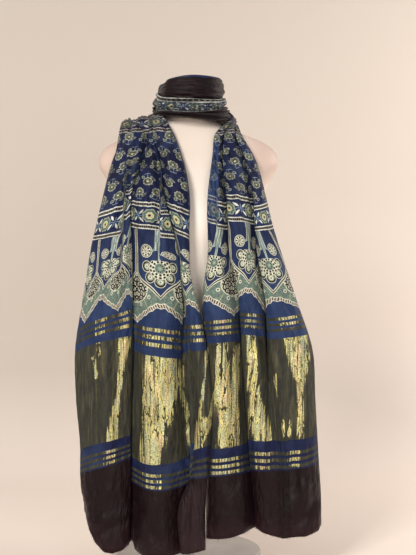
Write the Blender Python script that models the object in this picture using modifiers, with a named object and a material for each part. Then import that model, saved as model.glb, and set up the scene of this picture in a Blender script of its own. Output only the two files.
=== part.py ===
"""An ajrakh dupatta wound once round the neck of a dress form, its two ends hanging in front.

Metres, +Z up. The origin is the middle of the base's underside. The form faces -Y, and X runs to the
right of someone who looks at its front. Left and right below are that viewer's left and right.
"""
import math

import bmesh
import bpy
import numpy as np

# ---------------------------------------------------------------- driving sizes
CLOTH_THICKNESS = 0.0012
LEFT_LENGTH, RIGHT_LENGTH = 0.945, 0.925   # cloth from the top of a shoulder to the hem
CLEARANCE = 0.0055           # rearmost layer to the form

BASE_RADIUS = 0.160
BASE_THICKNESS = 0.010
BASE_EDGE = 0.003
POLE_RADIUS = 0.0125
FORM_BOTTOM = 0.290
NECK_TOP = 1.030
SEAT_GAP = 0.0003            # what meshes that meet keep between them

# The dress form's rings: height, half width, depth in front of the pole and behind it, squareness.
FORM_COLUMNS = ("z", "half", "front", "back", "square")
FORM_RINGS = (
    (0.290, 0.156, 0.098, 0.104, 2.3),
    (0.303, 0.168, 0.106, 0.113, 2.3),
    (0.335, 0.176, 0.112, 0.120, 2.3),
    (0.400, 0.166, 0.105, 0.112, 2.3),
    (0.510, 0.130, 0.090, 0.086, 2.3),
    (0.580, 0.137, 0.098, 0.088, 2.3),
    (0.650, 0.152, 0.109, 0.095, 2.3),
    (0.715, 0.162, 0.113, 0.101, 2.4),
    (0.773, 0.168, 0.105, 0.105, 2.5),
    (0.810, 0.173, 0.096, 0.105, 2.6),
    (0.836, 0.186, 0.089, 0.101, 2.7),
    (0.861, 0.199, 0.082, 0.095, 2.8),
    (0.883, 0.196, 0.075, 0.088, 2.8),
    (0.903, 0.179, 0.068, 0.080, 2.7),
    (0.919, 0.150, 0.062, 0.073, 2.6),
    (0.932, 0.116, 0.057, 0.066, 2.4),
    (0.945, 0.083, 0.052, 0.059, 2.2),
    (0.960, 0.060, 0.048, 0.052, 2.0),
    (0.980, 0.049, 0.046, 0.047, 2.0),
    (1.006, 0.045, 0.044, 0.044, 2.0),
    (1.030, 0.044, 0.043, 0.043, 2.0),
)
BUST_X, BUST_Z, BUST_RISE, BUST_SPREAD = 0.074, 0.720, 0.012, 0.058

# Loop stations, in the order in which the cloth runs: the angle about the neck, the radius and the height of
# the band's lower (outer) edge and of its upper (inner) edge, the layers' spacing, and where the band's two inner
# folds lie, as shares of its height. Angle 0 is the front, 90 the viewer's right.
LOOP_COLUMNS = ("phi_low", "r_low", "z_low", "phi_top", "r_top", "z_top", "gap", "fold_1", "fold_2")
LOOP_STATIONS = (
    (-80, 0.155, 0.922, -46, 0.080, 0.941, 0.0036, 0.36, 0.69),   # left shoulder, coming forward
    (-104, 0.144, 0.927, -100, 0.078, 0.960, 0.0036, 0.36, 0.69),  # left shoulder, top
    (-140, 0.100, 0.936, -140, 0.072, 0.986, 0.0034, 0.36, 0.69),
    (-180, 0.062, 0.946, -180, 0.051, 1.036, 0.0032, 0.36, 0.69),  # behind the neck, inner pass
    (-222, 0.058, 0.955, -222, 0.048, 1.048, 0.0032, 0.36, 0.66),
    (-270, 0.062, 0.957, -270, 0.048, 1.049, 0.0035, 0.36, 0.62),  # right side of the neck
    (-315, 0.062, 0.946, -315, 0.048, 1.046, 0.0037, 0.34, 0.59),
    (-360, 0.061, 0.944, -360, 0.048, 1.044, 0.0037, 0.34, 0.58),  # front of the neck
    (-405, 0.075, 0.961, -405, 0.048, 1.041, 0.0037, 0.34, 0.62),
    (-450, 0.073, 0.984, -450, 0.051, 1.040, 0.0036, 0.34, 0.72),  # left side of the neck
    (-495, 0.095, 0.987, -495, 0.078, 1.054, 0.0034, 0.35, 0.70),
    (-540, 0.088, 0.958, -540, 0.080, 1.044, 0.0034, 0.36, 0.69),  # behind the neck, outer pass
    (-585, 0.098, 0.936, -585, 0.084, 1.004, 0.0034, 0.36, 0.69),
    (-618, 0.105, 0.938, -618, 0.087, 0.971, 0.0035, 0.36, 0.69),  # right shoulder, top
    (-645, 0.103, 0.935, -655, 0.086, 0.953, 0.0036, 0.36, 0.69),  # right shoulder, coming forward
)
LOOP_CENTRE_X = 0.007
LOOP_OVERLAP, LOOP_TUCK, LOOP_BULGE = 0.75, 2.20, 0.10   # shares of a tier's height
LOOP_THINNING = 0.25          # how much closer the layers lie at the band's upper edge

# Each hanging end: height and how much lower its outer side is, the edges of its three pleats from the outer side in,
# how far each pleat laps the next one, how much is turned under at the outer and the inner side, how deep the outer
# pleat's return is (0 is none), how far the inner pleat is lifted off the layers below it, and how far its turned
# edge comes up with it.
FALL_COLUMNS = ("z", "drop", "edge_0", "edge_1", "edge_2", "edge_3", "lap_1", "lap_2", "tuck_out", "tuck_in",
                "pleat_1", "lift", "raised")
LEFT_FALL = (
    (0.912, 0.030, -0.156, -0.098, -0.055, -0.026, 0.042, 0.034, 0.110, 0.050, 1.0, 0.000, 0.0),
    (0.874, 0.010, -0.162, -0.101, -0.047, -0.013, 0.056, 0.046, 0.125, 0.090, 1.0, 0.000, 0.0),
    (0.776, 0.000, -0.182, -0.120, -0.047, 0.001, 0.060, 0.065, 0.160, 0.090, 1.0, 0.000, 0.0),
    (0.722, 0.000, -0.193, -0.118, -0.033, 0.005, 0.068, 0.075, 0.170, 0.045, 1.0, 0.000, 0.0),
    (0.671, 0.000, -0.205, -0.116, -0.020, 0.009, 0.080, 0.075, 0.180, 0.021, 1.0, 0.000, 0.0),
    (0.566, 0.000, -0.222, -0.115, -0.010, 0.024, 0.095, 0.080, 0.195, 0.024, 1.0, 0.012, 1.0),
    (0.461, 0.000, -0.238, -0.115, -0.014, 0.041, 0.105, 0.080, 0.200, 0.040, 1.0, 0.020, 1.0),
    (0.356, 0.000, -0.236, -0.118, -0.010, 0.053, 0.104, 0.080, 0.200, 0.048, 1.0, 0.022, 1.0),
    (0.251, 0.000, -0.224, -0.119, -0.010, 0.046, 0.090, 0.080, 0.200, 0.040, 1.0, 0.018, 1.0),
    (0.146, 0.000, -0.217, -0.119, -0.016, 0.036, 0.076, 0.080, 0.200, 0.038, 1.0, 0.010, 0.8),
    (0.041, 0.000, -0.191, -0.122, -0.014, 0.034, 0.052, 0.080, 0.180, 0.036, 1.0, 0.008, 0.6),
    (-0.080, 0.000, -0.165, -0.122, -0.012, 0.033, 0.036, 0.080, 0.160, 0.036, 1.0, 0.008, 0.6),
)
RIGHT_FALL = (
    (0.922, 0.014, 0.112, 0.093, 0.078, 0.058, 0.016, 0.016, 0.046, 0.046, 1.0, 0.000, 0.0),
    (0.884, 0.010, 0.130, 0.106, 0.075, 0.054, 0.022, 0.030, 0.068, 0.066, 1.0, 0.000, 0.0),
    (0.776, 0.000, 0.165, 0.136, 0.083, 0.042, 0.028, 0.052, 0.110, 0.105, 1.0, 0.000, 0.0),
    (0.722, 0.000, 0.180, 0.141, 0.085, 0.040, 0.038, 0.056, 0.125, 0.125, 1.0, 0.000, 0.0),
    (0.671, 0.000, 0.196, 0.146, 0.087, 0.039, 0.048, 0.060, 0.145, 0.140, 1.0, 0.000, 0.0),
    (0.566, 0.000, 0.230, 0.163, 0.107, 0.031, 0.060, 0.080, 0.175, 0.170, 1.0, 0.000, 0.0),
    (0.461, 0.000, 0.264, 0.167, 0.114, 0.036, 0.032, 0.080, 0.200, 0.190, 0.6, 0.000, 0.0),
    (0.356, 0.000, 0.270, 0.180, 0.121, 0.039, 0.020, 0.080, 0.215, 0.205, 0.2, 0.000, 0.0),
    (0.251, 0.000, 0.276, 0.195, 0.129, 0.040, 0.020, 0.080, 0.220, 0.215, 0.0, 0.000, 0.0),
    (0.146, 0.000, 0.282, 0.205, 0.139, 0.041, 0.020, 0.080, 0.220, 0.215, 0.0, 0.000, 0.0),
    (0.041, 0.000, 0.283, 0.208, 0.144, 0.041, 0.020, 0.080, 0.220, 0.215, 0.0, 0.000, 0.0),
    (-0.080, 0.000, 0.283, 0.208, 0.144, 0.041, 0.020, 0.080, 0.220, 0.215, 0.0, 0.000, 0.0),
)
FALL_GAP = 0.0064            # between a hanging end's layers, low down and at the shoulder
SHOULDER_GAP = 0.0038
FALL_BULGE = 0.22            # a pleat's crown, as a share of its width
DEEPEST_BULGE = 0.020

FALL_ROWS = 22               # rows of faces down each hanging end
LOOP_ROWS = 31               # and round the neck


def rows_of(columns, table):
    return [dict(zip(columns, row)) for row in table]


# ---------------------------------------------------------------- the dress form
def form_ring(z):
    """The form's ring at a height, read smoothly between the table's rings."""
    table = np.array(FORM_RINGS)
    return {name: float(np.interp(z, table[:, 0], table[:, i])) for i, name in enumerate(FORM_COLUMNS)}


def bust(x, z):
    """How far the bust stands in front of the ring."""
    across = math.exp(-((abs(x) - BUST_X) / BUST_SPREAD) ** 2)
    return BUST_RISE * across * math.exp(-((z - BUST_Z) / BUST_SPREAD) ** 2)


def form_front(x, z):
    """The form's depth in front of the pole at x and z."""
    ring = form_ring(z)
    share = min(abs(x) / ring["half"], 0.97)
    return ring["front"] * (1 - share ** ring["square"]) ** (1 / ring["square"]) + bust(x, z)


HANG_X = np.linspace(0, 0.30, 61)
HANG_Z = np.linspace(0.60, 0.94, 35)
HANG_FLARE, FREE_FROM, FREE_FLARE = 0.18, 0.150, 0.10   # how fast the cloth falls back to the side, on and off the form


def hang_table():
    """What a cloth that comes down from the shoulder lies on, by height and distance from the middle: the
    furthest that the form reaches there, above, or a little to either side."""
    front = np.array([[form_front(x, z) for x in HANG_X] for z in HANG_Z])
    front[:, HANG_X > FREE_FROM] = 0
    front = np.maximum.accumulate(front[::-1])[::-1]
    spread = front[:, None, :] - HANG_FLARE * np.abs(HANG_X[:, None] - HANG_X[None, :])
    line = spread.max(axis=2)
    free = HANG_X > FREE_FROM
    edge = line[:, ~free][:, -1:]
    line[:, free] = edge - FREE_FLARE * (HANG_X[free] - FREE_FROM)
    return line


HANG = hang_table()


def hang_line(x, z):
    at = (np.clip(z, HANG_Z[0], HANG_Z[-1]) - HANG_Z[0]) / (HANG_Z[1] - HANG_Z[0])
    row = min(int(at), len(HANG_Z) - 2)
    line = (row + 1 - at) * HANG[row] + (at - row) * HANG[row + 1]
    return float(np.interp(abs(x), HANG_X, line))


# ---------------------------------------------------------------- the cloth's section
def mixed(a, b, share):
    return (1 - share) * a + share * b


def pleated_section(edge, lap, tuck, base, gap, crown, pleat_1=1.0, lift=0.0, raised=0.0):
    """Points across the cloth, from the outer selvedge to the inner one, as (distance in, distance out).
    It is three pleats. Each laps over the next, whose return lies behind it, and both selvedges are turned under.
    The layers lie on five levels: the inner and the outer turned edge, the returns' two sides, and the fronts.
    pleat_1 opens the outer pleat's return into a valley (0.5) and then into a plain face (0)."""
    level = [base + i * gap for i in range(5)]
    turn = 0.5 * gap
    width = [edge[i + 1] - edge[i] for i in range(3)]
    rise = [min(crown * w, DEEPEST_BULGE) for w in width]
    lap = min(lap[0], 0.80 * width[0]), min(lap[1], 0.62 * width[1])
    tuck = [min(t, 0.82 * edge[3]) for t in tuck]

    def face(index, front, set_back):
        """Five points along the front of a pleat; set_back is how far its first side starts behind the front."""
        return [(edge[index] + share * width[index], front + height * rise[index] - set_back * max(0.0, 1 - share / 0.30))
                for share, height in ((0.07, 0.10), (0.27, 0.72), (0.50, 1.00), (0.73, 0.80), (0.94, 0.22))]

    def fold(index, opening):
        """Six points of the fold behind a pleat's edge; opening 1 leaves a valley."""
        deep = lap[index - 1]
        near = max(0.6 * deep, deep - 1.3 * gap)
        behind = ((0, 3.5), (turn, 3), (near, 3), (deep, 2.5), (near, 2), (0.4 * turn, 2))
        valley = ((0.003, 3.6), (0.001, 3.1), (-0.001, 2.6), (-0.003, 2.2), (-0.007, 2.0), (-0.013, 2.3))
        return [(edge[index] - mixed(a[0], b[0], opening), base + mixed(a[1], b[1], opening) * gap)
                for a, b in zip(behind, valley)]

    opening = min(1.0, 2 * (1 - pleat_1))
    front_3 = level[4] + lift
    inner = mixed(level[0], front_3 - gap, raised)
    points = [(edge[0] + share * tuck[0], level[1]) for share in (1.0, 0.67, 0.34)] + [(edge[0] + turn, level[1])]
    points.append((edge[0], (level[1] + level[4]) / 2))
    points += face(0, level[4], 0.0)
    points += fold(1, opening)
    points += face(1, level[4], 1.7 * gap)
    points += fold(2, 0.0)
    points += face(2, front_3, 1.7 * gap + lift)
    points.append((edge[3], (inner + front_3) / 2))
    points += [(edge[3] - turn, inner)] + [(edge[3] - share * tuck[1], inner) for share in (0.34, 0.67, 1.0)]

    points = np.array(points)
    if opening == 1.0:
        first, last = 8, 18
        for i in range(first + 1, last):
            flat = mixed(points[first], points[last], (i - first) / (last - first))
            points[i] = mixed(flat, points[i], 2 * pleat_1)
    return points


def fall_station(row, side):
    """The cloth's points across a hanging end at one height. side is -1 on the left and 1 on the right."""
    edge = [abs(row[f"edge_{i}"] - row["edge_0"]) for i in range(4)]
    gap = float(np.interp(row["z"], (0.78, 0.92), (FALL_GAP, SHOULDER_GAP)))
    section = pleated_section(edge, (row["lap_1"], row["lap_2"]), (row["tuck_out"], row["tuck_in"]), CLEARANCE, gap,
                              FALL_BULGE, row["pleat_1"], row["lift"], row["raised"])
    points = []
    for distance_in, distance_out in section:
        x = row["edge_0"] - side * distance_in
        z = row["z"] - row["drop"] * (1 - distance_in / edge[3])
        points.append((x, -(hang_line(x, z) + distance_out), z))
    return np.array(points)


def loop_point(phi, radius, z):
    angle = math.radians(phi)
    return np.array((LOOP_CENTRE_X + radius * math.sin(angle), -radius * math.cos(angle), z))


def loop_station(row):
    """The cloth's points across the band at one place round the neck."""
    low = loop_point(row["phi_low"], row["r_low"], row["z_low"])
    top = loop_point(row["phi_top"], row["r_top"], row["z_top"])
    height = np.linalg.norm(top - low)
    across = (top - low) / height
    middle = math.radians((row["phi_low"] + row["phi_top"]) / 2)
    along = np.array((-math.cos(middle), -math.sin(middle), 0.0))
    out = np.cross(along, across)
    out /= np.linalg.norm(out)
    radial = np.array((math.sin(middle), -math.cos(middle), 0.6))
    if out @ radial < 0:
        out = -out
    edge = [0.0, row["fold_1"] * height, row["fold_2"] * height, height]
    tier = height / 3
    section = pleated_section(edge, (LOOP_OVERLAP * tier, LOOP_OVERLAP * tier), (LOOP_TUCK * tier, LOOP_TUCK * tier),
                              CLEARANCE, row["gap"], LOOP_BULGE)
    return np.array([low + a * across + n * (1 - LOOP_THINNING * a / height) * out for a, n in section])


# ---------------------------------------------------------------- the cloth as a sheet
def spline(knots, values, at):
    """Smooth curves through values (one row for each knot), read at the parameters in at."""
    knots, values, at = np.asarray(knots, float), np.asarray(values, float), np.asarray(at, float)
    step = np.diff(knots)
    slope = np.diff(values, axis=0) / step.reshape(-1, *[1] * (values.ndim - 1))
    tangent = np.empty_like(values)
    tangent[0], tangent[-1] = slope[0], slope[-1]
    before, after = step[:-1].reshape(-1, *[1] * (values.ndim - 1)), step[1:].reshape(-1, *[1] * (values.ndim - 1))
    tangent[1:-1] = (slope[:-1] * after + slope[1:] * before) / (before + after)
    i = np.clip(np.searchsorted(knots, at, side="right") - 1, 0, len(step) - 1)
    h = step[i].reshape(-1, *[1] * (values.ndim - 1))
    u = ((at - knots[i]) / step[i]).reshape(h.shape)
    return ((2 * u**3 - 3 * u**2 + 1) * values[i] + (u**3 - 2 * u**2 + u) * h * tangent[i]
            + (3 * u**2 - 2 * u**3) * values[i + 1] + (u**3 - u**2) * h * tangent[i + 1])


def lengths(curve):
    """How far along a curve each of its points is."""
    return np.concatenate([[0], np.cumsum(np.linalg.norm(np.diff(curve, axis=0), axis=1))])


def cloth_net():
    """All stations' points, from the left hem round the neck to the right hem, with each one's place along it."""
    left = [fall_station(row, -1) for row in rows_of(FALL_COLUMNS, LEFT_FALL)][::-1]
    loop = [loop_station(row) for row in rows_of(LOOP_COLUMNS, LOOP_STATIONS)]
    right = [fall_station(row, 1) for row in rows_of(FALL_COLUMNS, RIGHT_FALL)]
    net = np.array(left + loop + right)
    knots = lengths(net.mean(axis=1))
    return net, knots, knots[len(left)], knots[len(left) + len(loop) - 1]


def cloth_grid(fall_rows, loop_rows):
    """The cloth's points, a row for each place along it. Below the shoulders every thread has its own true length,
    so that the hems and the weave lie as they fall."""
    net, knots, left_top, right_top = cloth_net()
    loop = spline(knots, net, np.linspace(left_top, right_top, loop_rows + 1))

    def fall(path, length):
        fine = spline(knots, net, path)
        wanted = length * np.linspace(0, 1, fall_rows + 1)[1:]
        rows = np.empty((fall_rows, net.shape[1], 3))
        along = np.array([lengths(fine[:, i]) for i in range(net.shape[1])])
        padded = np.pad(along, ((3, 3), (0, 0)), mode="edge")
        along = sum(padded[k:k + net.shape[1]] for k in range(7)) / 7   # neighbouring threads slip together
        for i in range(net.shape[1]):
            for k in range(3):
                rows[:, i, k] = np.interp(wanted, along[i], fine[:, i, k])
        return rows

    left = fall(np.linspace(left_top, knots[0], 400), LEFT_LENGTH)[::-1]
    right = fall(np.linspace(right_top, knots[-1], 400), RIGHT_LENGTH)
    return np.concatenate([left, loop, right])


def make_sheet(name, grid, thickness):
    """A solid sheet through a grid of points."""
    rows, columns = grid.shape[:2]
    mesh = bpy.data.meshes.new(name)
    faces = [(i * columns + j, i * columns + j + 1, (i + 1) * columns + j + 1, (i + 1) * columns + j)
             for i in range(rows - 1) for j in range(columns - 1)]
    mesh.from_pydata([tuple(p) for p in grid.reshape(-1, 3)], [], faces)
    sheet = bpy.data.objects.new(name, mesh)
    wall = sheet.modifiers.new("thickness", "SOLIDIFY")
    wall.thickness, wall.offset = thickness, 0
    return sheet


# ---------------------------------------------------------------- the form, pole and base
def make_form(name):
    """The torso and neck as a loft of rings."""
    around = 40
    build = bmesh.new()
    heights = np.concatenate([np.linspace(a[0], b[0], 3 if b[0] - a[0] > 0.05 else 2)[:-1]
                              for a, b in zip(FORM_RINGS, FORM_RINGS[1:])] + [[NECK_TOP]])
    rings = []
    for z in heights:
        ring = form_ring(z)
        power = 2 / ring["square"]
        loop = []
        for i in range(around):
            angle = 2 * math.pi * i / around
            c, s = math.cos(angle), math.sin(angle)
            x = ring["half"] * math.copysign(abs(c) ** power, c)
            depth = ring["back"] if s > 0 else ring["front"]
            y = depth * math.copysign(abs(s) ** power, s)
            if s < 0:
                y -= bust(x, z) * min(1.0, -1.6 * s)
            loop.append(build.verts.new((x, y, z)))
        rings.append(loop)
    for low, high in zip(rings, rings[1:]):
        for i in range(around):
            j = (i + 1) % around
            build.faces.new((low[i], low[j], high[j], high[i]))
    build.faces.new(rings[0][::-1])
    build.faces.new(rings[-1])
    mesh = bpy.data.meshes.new(name)
    build.to_mesh(mesh)
    build.free()
    return bpy.data.objects.new(name, mesh)


def make_disc(name, radius, low, high, edge=0.0, segments=48):
    """An upright cylinder, with its upper edge bevelled where edge is given."""
    build = bmesh.new()
    bmesh.ops.create_cone(build, cap_ends=True, segments=segments, radius1=radius, radius2=radius, depth=high - low)
    bmesh.ops.translate(build, verts=build.verts, vec=(0, 0, (low + high) / 2))
    if edge:
        rim = [e for e in build.edges if all(v.co.z > high - 1e-5 for v in e.verts)]
        bmesh.ops.bevel(build, geom=rim, offset=edge, segments=2, affect="EDGES", profile=0.5)
    mesh = bpy.data.meshes.new(name)
    build.to_mesh(mesh)
    build.free()
    return bpy.data.objects.new(name, mesh)


def material(name, colour, roughness, metallic=0.0):
    made = bpy.data.materials.new(name)
    made.use_nodes = True
    shader = made.node_tree.nodes["Principled BSDF"]
    shader.inputs["Base Color"].default_value = (*colour, 1)
    shader.inputs["Roughness"].default_value = roughness
    shader.inputs["Metallic"].default_value = metallic
    return made


def main():
    for old in list(bpy.data.objects):
        bpy.data.objects.remove(old)
    parts = bpy.data.collections.new("ajrakh_dupatta_on_dress_form")
    bpy.context.scene.collection.children.link(parts)

    pieces = [
        (make_sheet("dupatta", cloth_grid(FALL_ROWS, LOOP_ROWS), CLOTH_THICKNESS),
         material("ajrakh_cloth", (0.022, 0.032, 0.105), 0.6)),
        (make_form("dress_form"), material("form_cover", (0.80, 0.74, 0.68), 0.7)),
        (make_disc("base", BASE_RADIUS, 0, BASE_THICKNESS, BASE_EDGE), material("base_steel", (0.5, 0.5, 0.5), 0.4, 1.0)),
        (make_disc("pole", POLE_RADIUS, BASE_THICKNESS + SEAT_GAP, FORM_BOTTOM - SEAT_GAP, segments=24),
         material("pole_steel", (0.55, 0.55, 0.55), 0.3, 1.0)),
    ]
    for piece, finish in pieces:
        piece.data.materials.append(finish)
        parts.objects.link(piece)


main()
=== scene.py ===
"""Looks of the ajrakh dupatta on its dress form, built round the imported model.

Metres, +Z up. The form faces -Y and X runs to the viewer's right; left and right are the viewer's.
"""
import math

import bmesh
import bpy
import numpy as np
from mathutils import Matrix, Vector


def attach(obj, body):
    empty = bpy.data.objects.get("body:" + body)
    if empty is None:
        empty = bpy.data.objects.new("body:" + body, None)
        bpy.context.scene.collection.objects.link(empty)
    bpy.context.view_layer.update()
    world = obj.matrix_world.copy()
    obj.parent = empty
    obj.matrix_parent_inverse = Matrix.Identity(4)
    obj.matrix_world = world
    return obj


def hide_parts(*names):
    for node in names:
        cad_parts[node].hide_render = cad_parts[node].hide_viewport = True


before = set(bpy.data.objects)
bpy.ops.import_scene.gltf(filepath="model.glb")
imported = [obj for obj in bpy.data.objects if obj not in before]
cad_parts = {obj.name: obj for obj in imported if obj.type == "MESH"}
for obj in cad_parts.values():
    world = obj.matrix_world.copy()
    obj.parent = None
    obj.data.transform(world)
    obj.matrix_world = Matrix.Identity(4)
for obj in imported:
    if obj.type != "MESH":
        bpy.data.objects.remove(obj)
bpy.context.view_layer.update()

# ---------------------------------------------------------------- the object's own sizes
CLOTH_THICKNESS = 0.0007
FLAT = (0.86, 2.75)          # the cloth before it was hung: width, length
LEFT_LENGTH, RIGHT_LENGTH = 0.945, 0.925
CLEARANCE = 0.0055
FALL_GAP, SHOULDER_GAP = 0.0064, 0.0032
FALL_BULGE, DEEPEST_BULGE = 0.29, 0.026
LOOP_CENTRE_X = 0.007
LOOP_OVERLAP, LOOP_TUCK, LOOP_BULGE, LOOP_THINNING = 0.95, 2.75, 0.10, 0.25
HANG_FLARE, FREE_FROM, FREE_FLARE = 0.18, 0.150, 0.10

# The tables are in millimetres. These columns are degrees, powers or shares, and stay as they are.
NOT_LENGTHS = ("square", "phi_low", "phi_top", "fold_1", "fold_2", "pleat_1", "raised", "swing", "strength")
FORM_COLUMNS = ("z", "half", "front", "back", "square")
FORM_RINGS = (
    (290, 156, 98, 104, 2.3), (303, 168, 106, 113, 2.3), (335, 176, 112, 120, 2.3), (400, 166, 105, 112, 2.3),
    (510, 130, 90, 86, 2.3), (580, 137, 98, 88, 2.3), (650, 152, 109, 95, 2.3), (715, 162, 113, 101, 2.4),
    (773, 168, 105, 105, 2.5), (810, 173, 96, 105, 2.6), (836, 186, 89, 101, 2.7), (861, 199, 82, 95, 2.8),
    (883, 196, 75, 88, 2.8), (903, 179, 68, 80, 2.7), (919, 150, 62, 73, 2.6), (932, 116, 57, 66, 2.4),
    (945, 83, 52, 59, 2.2), (960, 60, 48, 52, 2), (980, 49, 46, 47, 2), (1006, 45, 44, 44, 2),
    (1030, 44, 43, 43, 2),
)
BUST_X, BUST_Z, BUST_RISE, BUST_SPREAD = 0.074, 0.720, 0.012, 0.058

LOOP_COLUMNS = ("phi_low", "r_low", "z_low", "phi_top", "r_top", "z_top", "gap", "fold_1", "fold_2")
LOOP_STATIONS = (
    (-80, 155, 932, -46, 80, 948, 3.6, 0.36, 0.69),  # left shoulder, coming forward
    (-104, 144, 938, -100, 78, 968, 3.6, 0.36, 0.69),  # left shoulder, top
    (-140, 100, 941, -140, 72, 988, 3.4, 0.36, 0.69),
    (-180, 62, 946, -180, 51, 1036, 3.2, 0.36, 0.69),  # behind the neck, inner pass
    (-222, 58, 955, -222, 48, 1048, 3.2, 0.36, 0.66),
    (-270, 64, 957, -270, 50, 1052, 3.5, 0.36, 0.56),  # right side of the neck
    (-315, 62, 952, -315, 49, 1052, 3.7, 0.22, 0.46),
    (-360, 61, 955, -360, 48, 1051, 3.7, 0.13, 0.43),  # front of the neck
    (-405, 69, 960, -405, 50, 1046, 3.7, 0.13, 0.46),
    (-450, 66, 972, -450, 56, 1030, 3.6, 0.14, 0.78),  # left side of the neck
    (-495, 95, 987, -495, 78, 1054, 3.4, 0.35, 0.7),
    (-540, 88, 958, -540, 80, 1044, 3.4, 0.36, 0.69),  # behind the neck, outer pass
    (-585, 90, 939, -585, 83, 1004, 3.1, 0.36, 0.69),
    (-618, 88, 944, -618, 85, 971, 2.8, 0.36, 0.69),  # right shoulder, top
    (-645, 90, 940, -655, 84, 953, 2.9, 0.36, 0.69),  # right shoulder, coming forward
)

# Each hanging end, as in the solid. swing takes the left inner pleat from behind its neighbour (0) through
# an open recess (0.5) to in front of it (1), and recess is how wide that opening is.
FALL_COLUMNS = ("z", "drop", "edge_0", "edge_1", "edge_2", "edge_3", "lap_1", "lap_2", "tuck_out", "tuck_in",
                "pleat_1", "lift", "raised", "swing", "recess")
LEFT_FALL = (
    (912, 30, -156, -86, -72, -26, 46, 34, 110, 100, 1, 0, 0, 0, 0),
    (874, 10, -162, -96, -62, -13, 56, 46, 125, 120, 1, 0, 0, 0, 0),
    (776, 0, -182, -120, -47, 5, 60, 65, 160, 140, 1, 0, 0, 0, 0),
    (722, 0, -193, -118, -33, 4, 68, 75, 170, 45, 1, 0, 0, 0, 0),
    (671, 0, -205, -116, -20, 4, 80, 75, 180, 21, 1, 0, 0, 0, 0),
    (620, 0, -213.5, -115.5, -15, 6, 88, 78, 188, 22, 1, 5, 0.4, 0.04, 3),
    (566, 0, -222, -115, -10, 20, 95, 80, 195, 24, 1, 12, 1, 0.1, 8),
    (461, 0, -238, -115, -13, 41, 105, 80, 200, 40, 1, 16, 1, 0.4, 21),
    (356, 0, -236, -118, -12, 53, 104, 80, 200, 48, 1, 16, 1, 0.5, 26),
    (251, 0, -227, -119, -12, 46, 90, 80, 200, 40, 1, 16, 1, 0.58, 26),
    (201, 0, -227, -119, 0, 42, 83, 80, 200, 38, 1, 16, 0.9, 0.85, 22),
    (146, 0, -224, -119, -17, 38, 76, 80, 200, 36, 1, 16, 0.8, 1, 26),
    (41, 0, -218, -122, -12, 38, 52, 80, 180, 36, 1, 16, 0.8, 1, 26),
    (-80, 0, -212, -122, -10, 36, 36, 80, 160, 36, 1, 16, 0.8, 1, 26),
)
RIGHT_FALL = (
    (922, 14, 124, 104, 78, 58, 16, 16, 46, 46, 1),
    (884, 10, 142, 117, 75, 54, 22, 30, 68, 66, 1),
    (776, 0, 168, 139, 83, 42, 28, 52, 110, 105, 1),
    (722, 0, 180, 141, 85, 42, 38, 56, 125, 125, 1),
    (671, 0, 196, 146, 87, 43, 48, 60, 145, 140, 1),
    (566, 0, 230, 163, 107, 31, 60, 80, 175, 170, 1),
    (461, 0, 264, 167, 114, 36, 32, 80, 200, 190, 0.6),
    (356, 0, 270, 180, 121, 39, 20, 80, 215, 205, 0.2),
    (251, 0, 276, 195, 129, 40, 20, 80, 220, 215, 0),
    (146, 0, 282, 205, 139, 39, 20, 80, 220, 215, 0),
    (41, 0, 283, 208, 144, 39, 20, 80, 220, 215, 0),
    (-80, 0, 283, 208, 144, 41, 20, 80, 220, 215, 0),
)
FALL_ROWS, LOOP_ROWS = 104, 110
# How many strips each gap between two of the section's points is cut into, from the outer selvedge to the
# inner one.
SECTION_STEPS = (5, 5, 4, 2, 4, *(6, 6, 6, 6, 4, 2, 3, 3, 3, 2, 3) * 2, 6, 6, 6, 6, 4, 2, 4, 5, 5)
STARTS = np.concatenate([[0], np.cumsum(SECTION_STEPS)])    # the fine column at each of the section's points
PLEATS = {"outer": (4, 10), "middle": (15, 21), "inner": (26, 32)}   # the section's points at a pleat's edges

# Soft troughs and ridges: where each starts and ends, its half width and how far it stands out. First the
# tucks that run down from the shoulders, then the long folds of each end, then the slanting folds of the
# black ends.
CREASE_COLUMNS = ("x_top", "z_top", "x_low", "z_low", "half", "height")
CREASES = (
    # the tucks
    (-118, 860, -139, 630, 3.5, -7.5), (-103, 880, -126, 630, 5, 4), (-66, 880, -58, 650, 3.2, -5.5),
    (-80, 918, -50, 790, 3.6, -5.5), (-86, 915, -118, 800, 3.6, -4.5), (78, 915, 108, 830, 3.6, -4.5),
    (60, 900, 62.5, 680, 3, -4.5),
    # left, the long folds
    (-58, 880, -54, 620, 5, -3.5), (-75, 905, -88, 680, 8, 3), (-40, 880, -20, 640, 7, 3),
    (-150, 860, -180, 560, 12, 3), (-170, 480, -160, 200, 20, 4), (-205, 420, -200, 220, 16, -3.5),
    (-85, 470, -75, 180, 14, 3.5), (-45, 430, -50, 170, 12, -3),
    # right, the long folds
    (68, 880, 85, 600, 6, -3), (95, 880, 118, 620, 8, 3), (120, 850, 160, 560, 6, -3.5),
    (60, 540, 66, 180, 12, 3.5), (93, 500, 100, 200, 10, -3), (150, 470, 170, 160, 20, 4.5),
    (205, 480, 215, 160, 18, -4), (240, 480, 250, 160, 15, 3.5),
    # the black ends
    (-118, 126, -204, 100, 18, 6.5), (-125, 110, -195, 74, 12, -5.5), (-150, 178, -215, 140, 16, 4.5),
    (-40, 190, -98, 80, 15, 5.5), (-110, 160, -60, 60, 12, -4.5), (10, 180, -4, 70, 6, -4),
    (120, 200, 78, 100, 13, 5.5), (60, 180, 52, 80, 10, -4), (250, 190, 190, 100, 17, 6.5),
    (275, 150, 235, 100, 10, -5), (170, 190, 175, 100, 12, -4),
)

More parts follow.
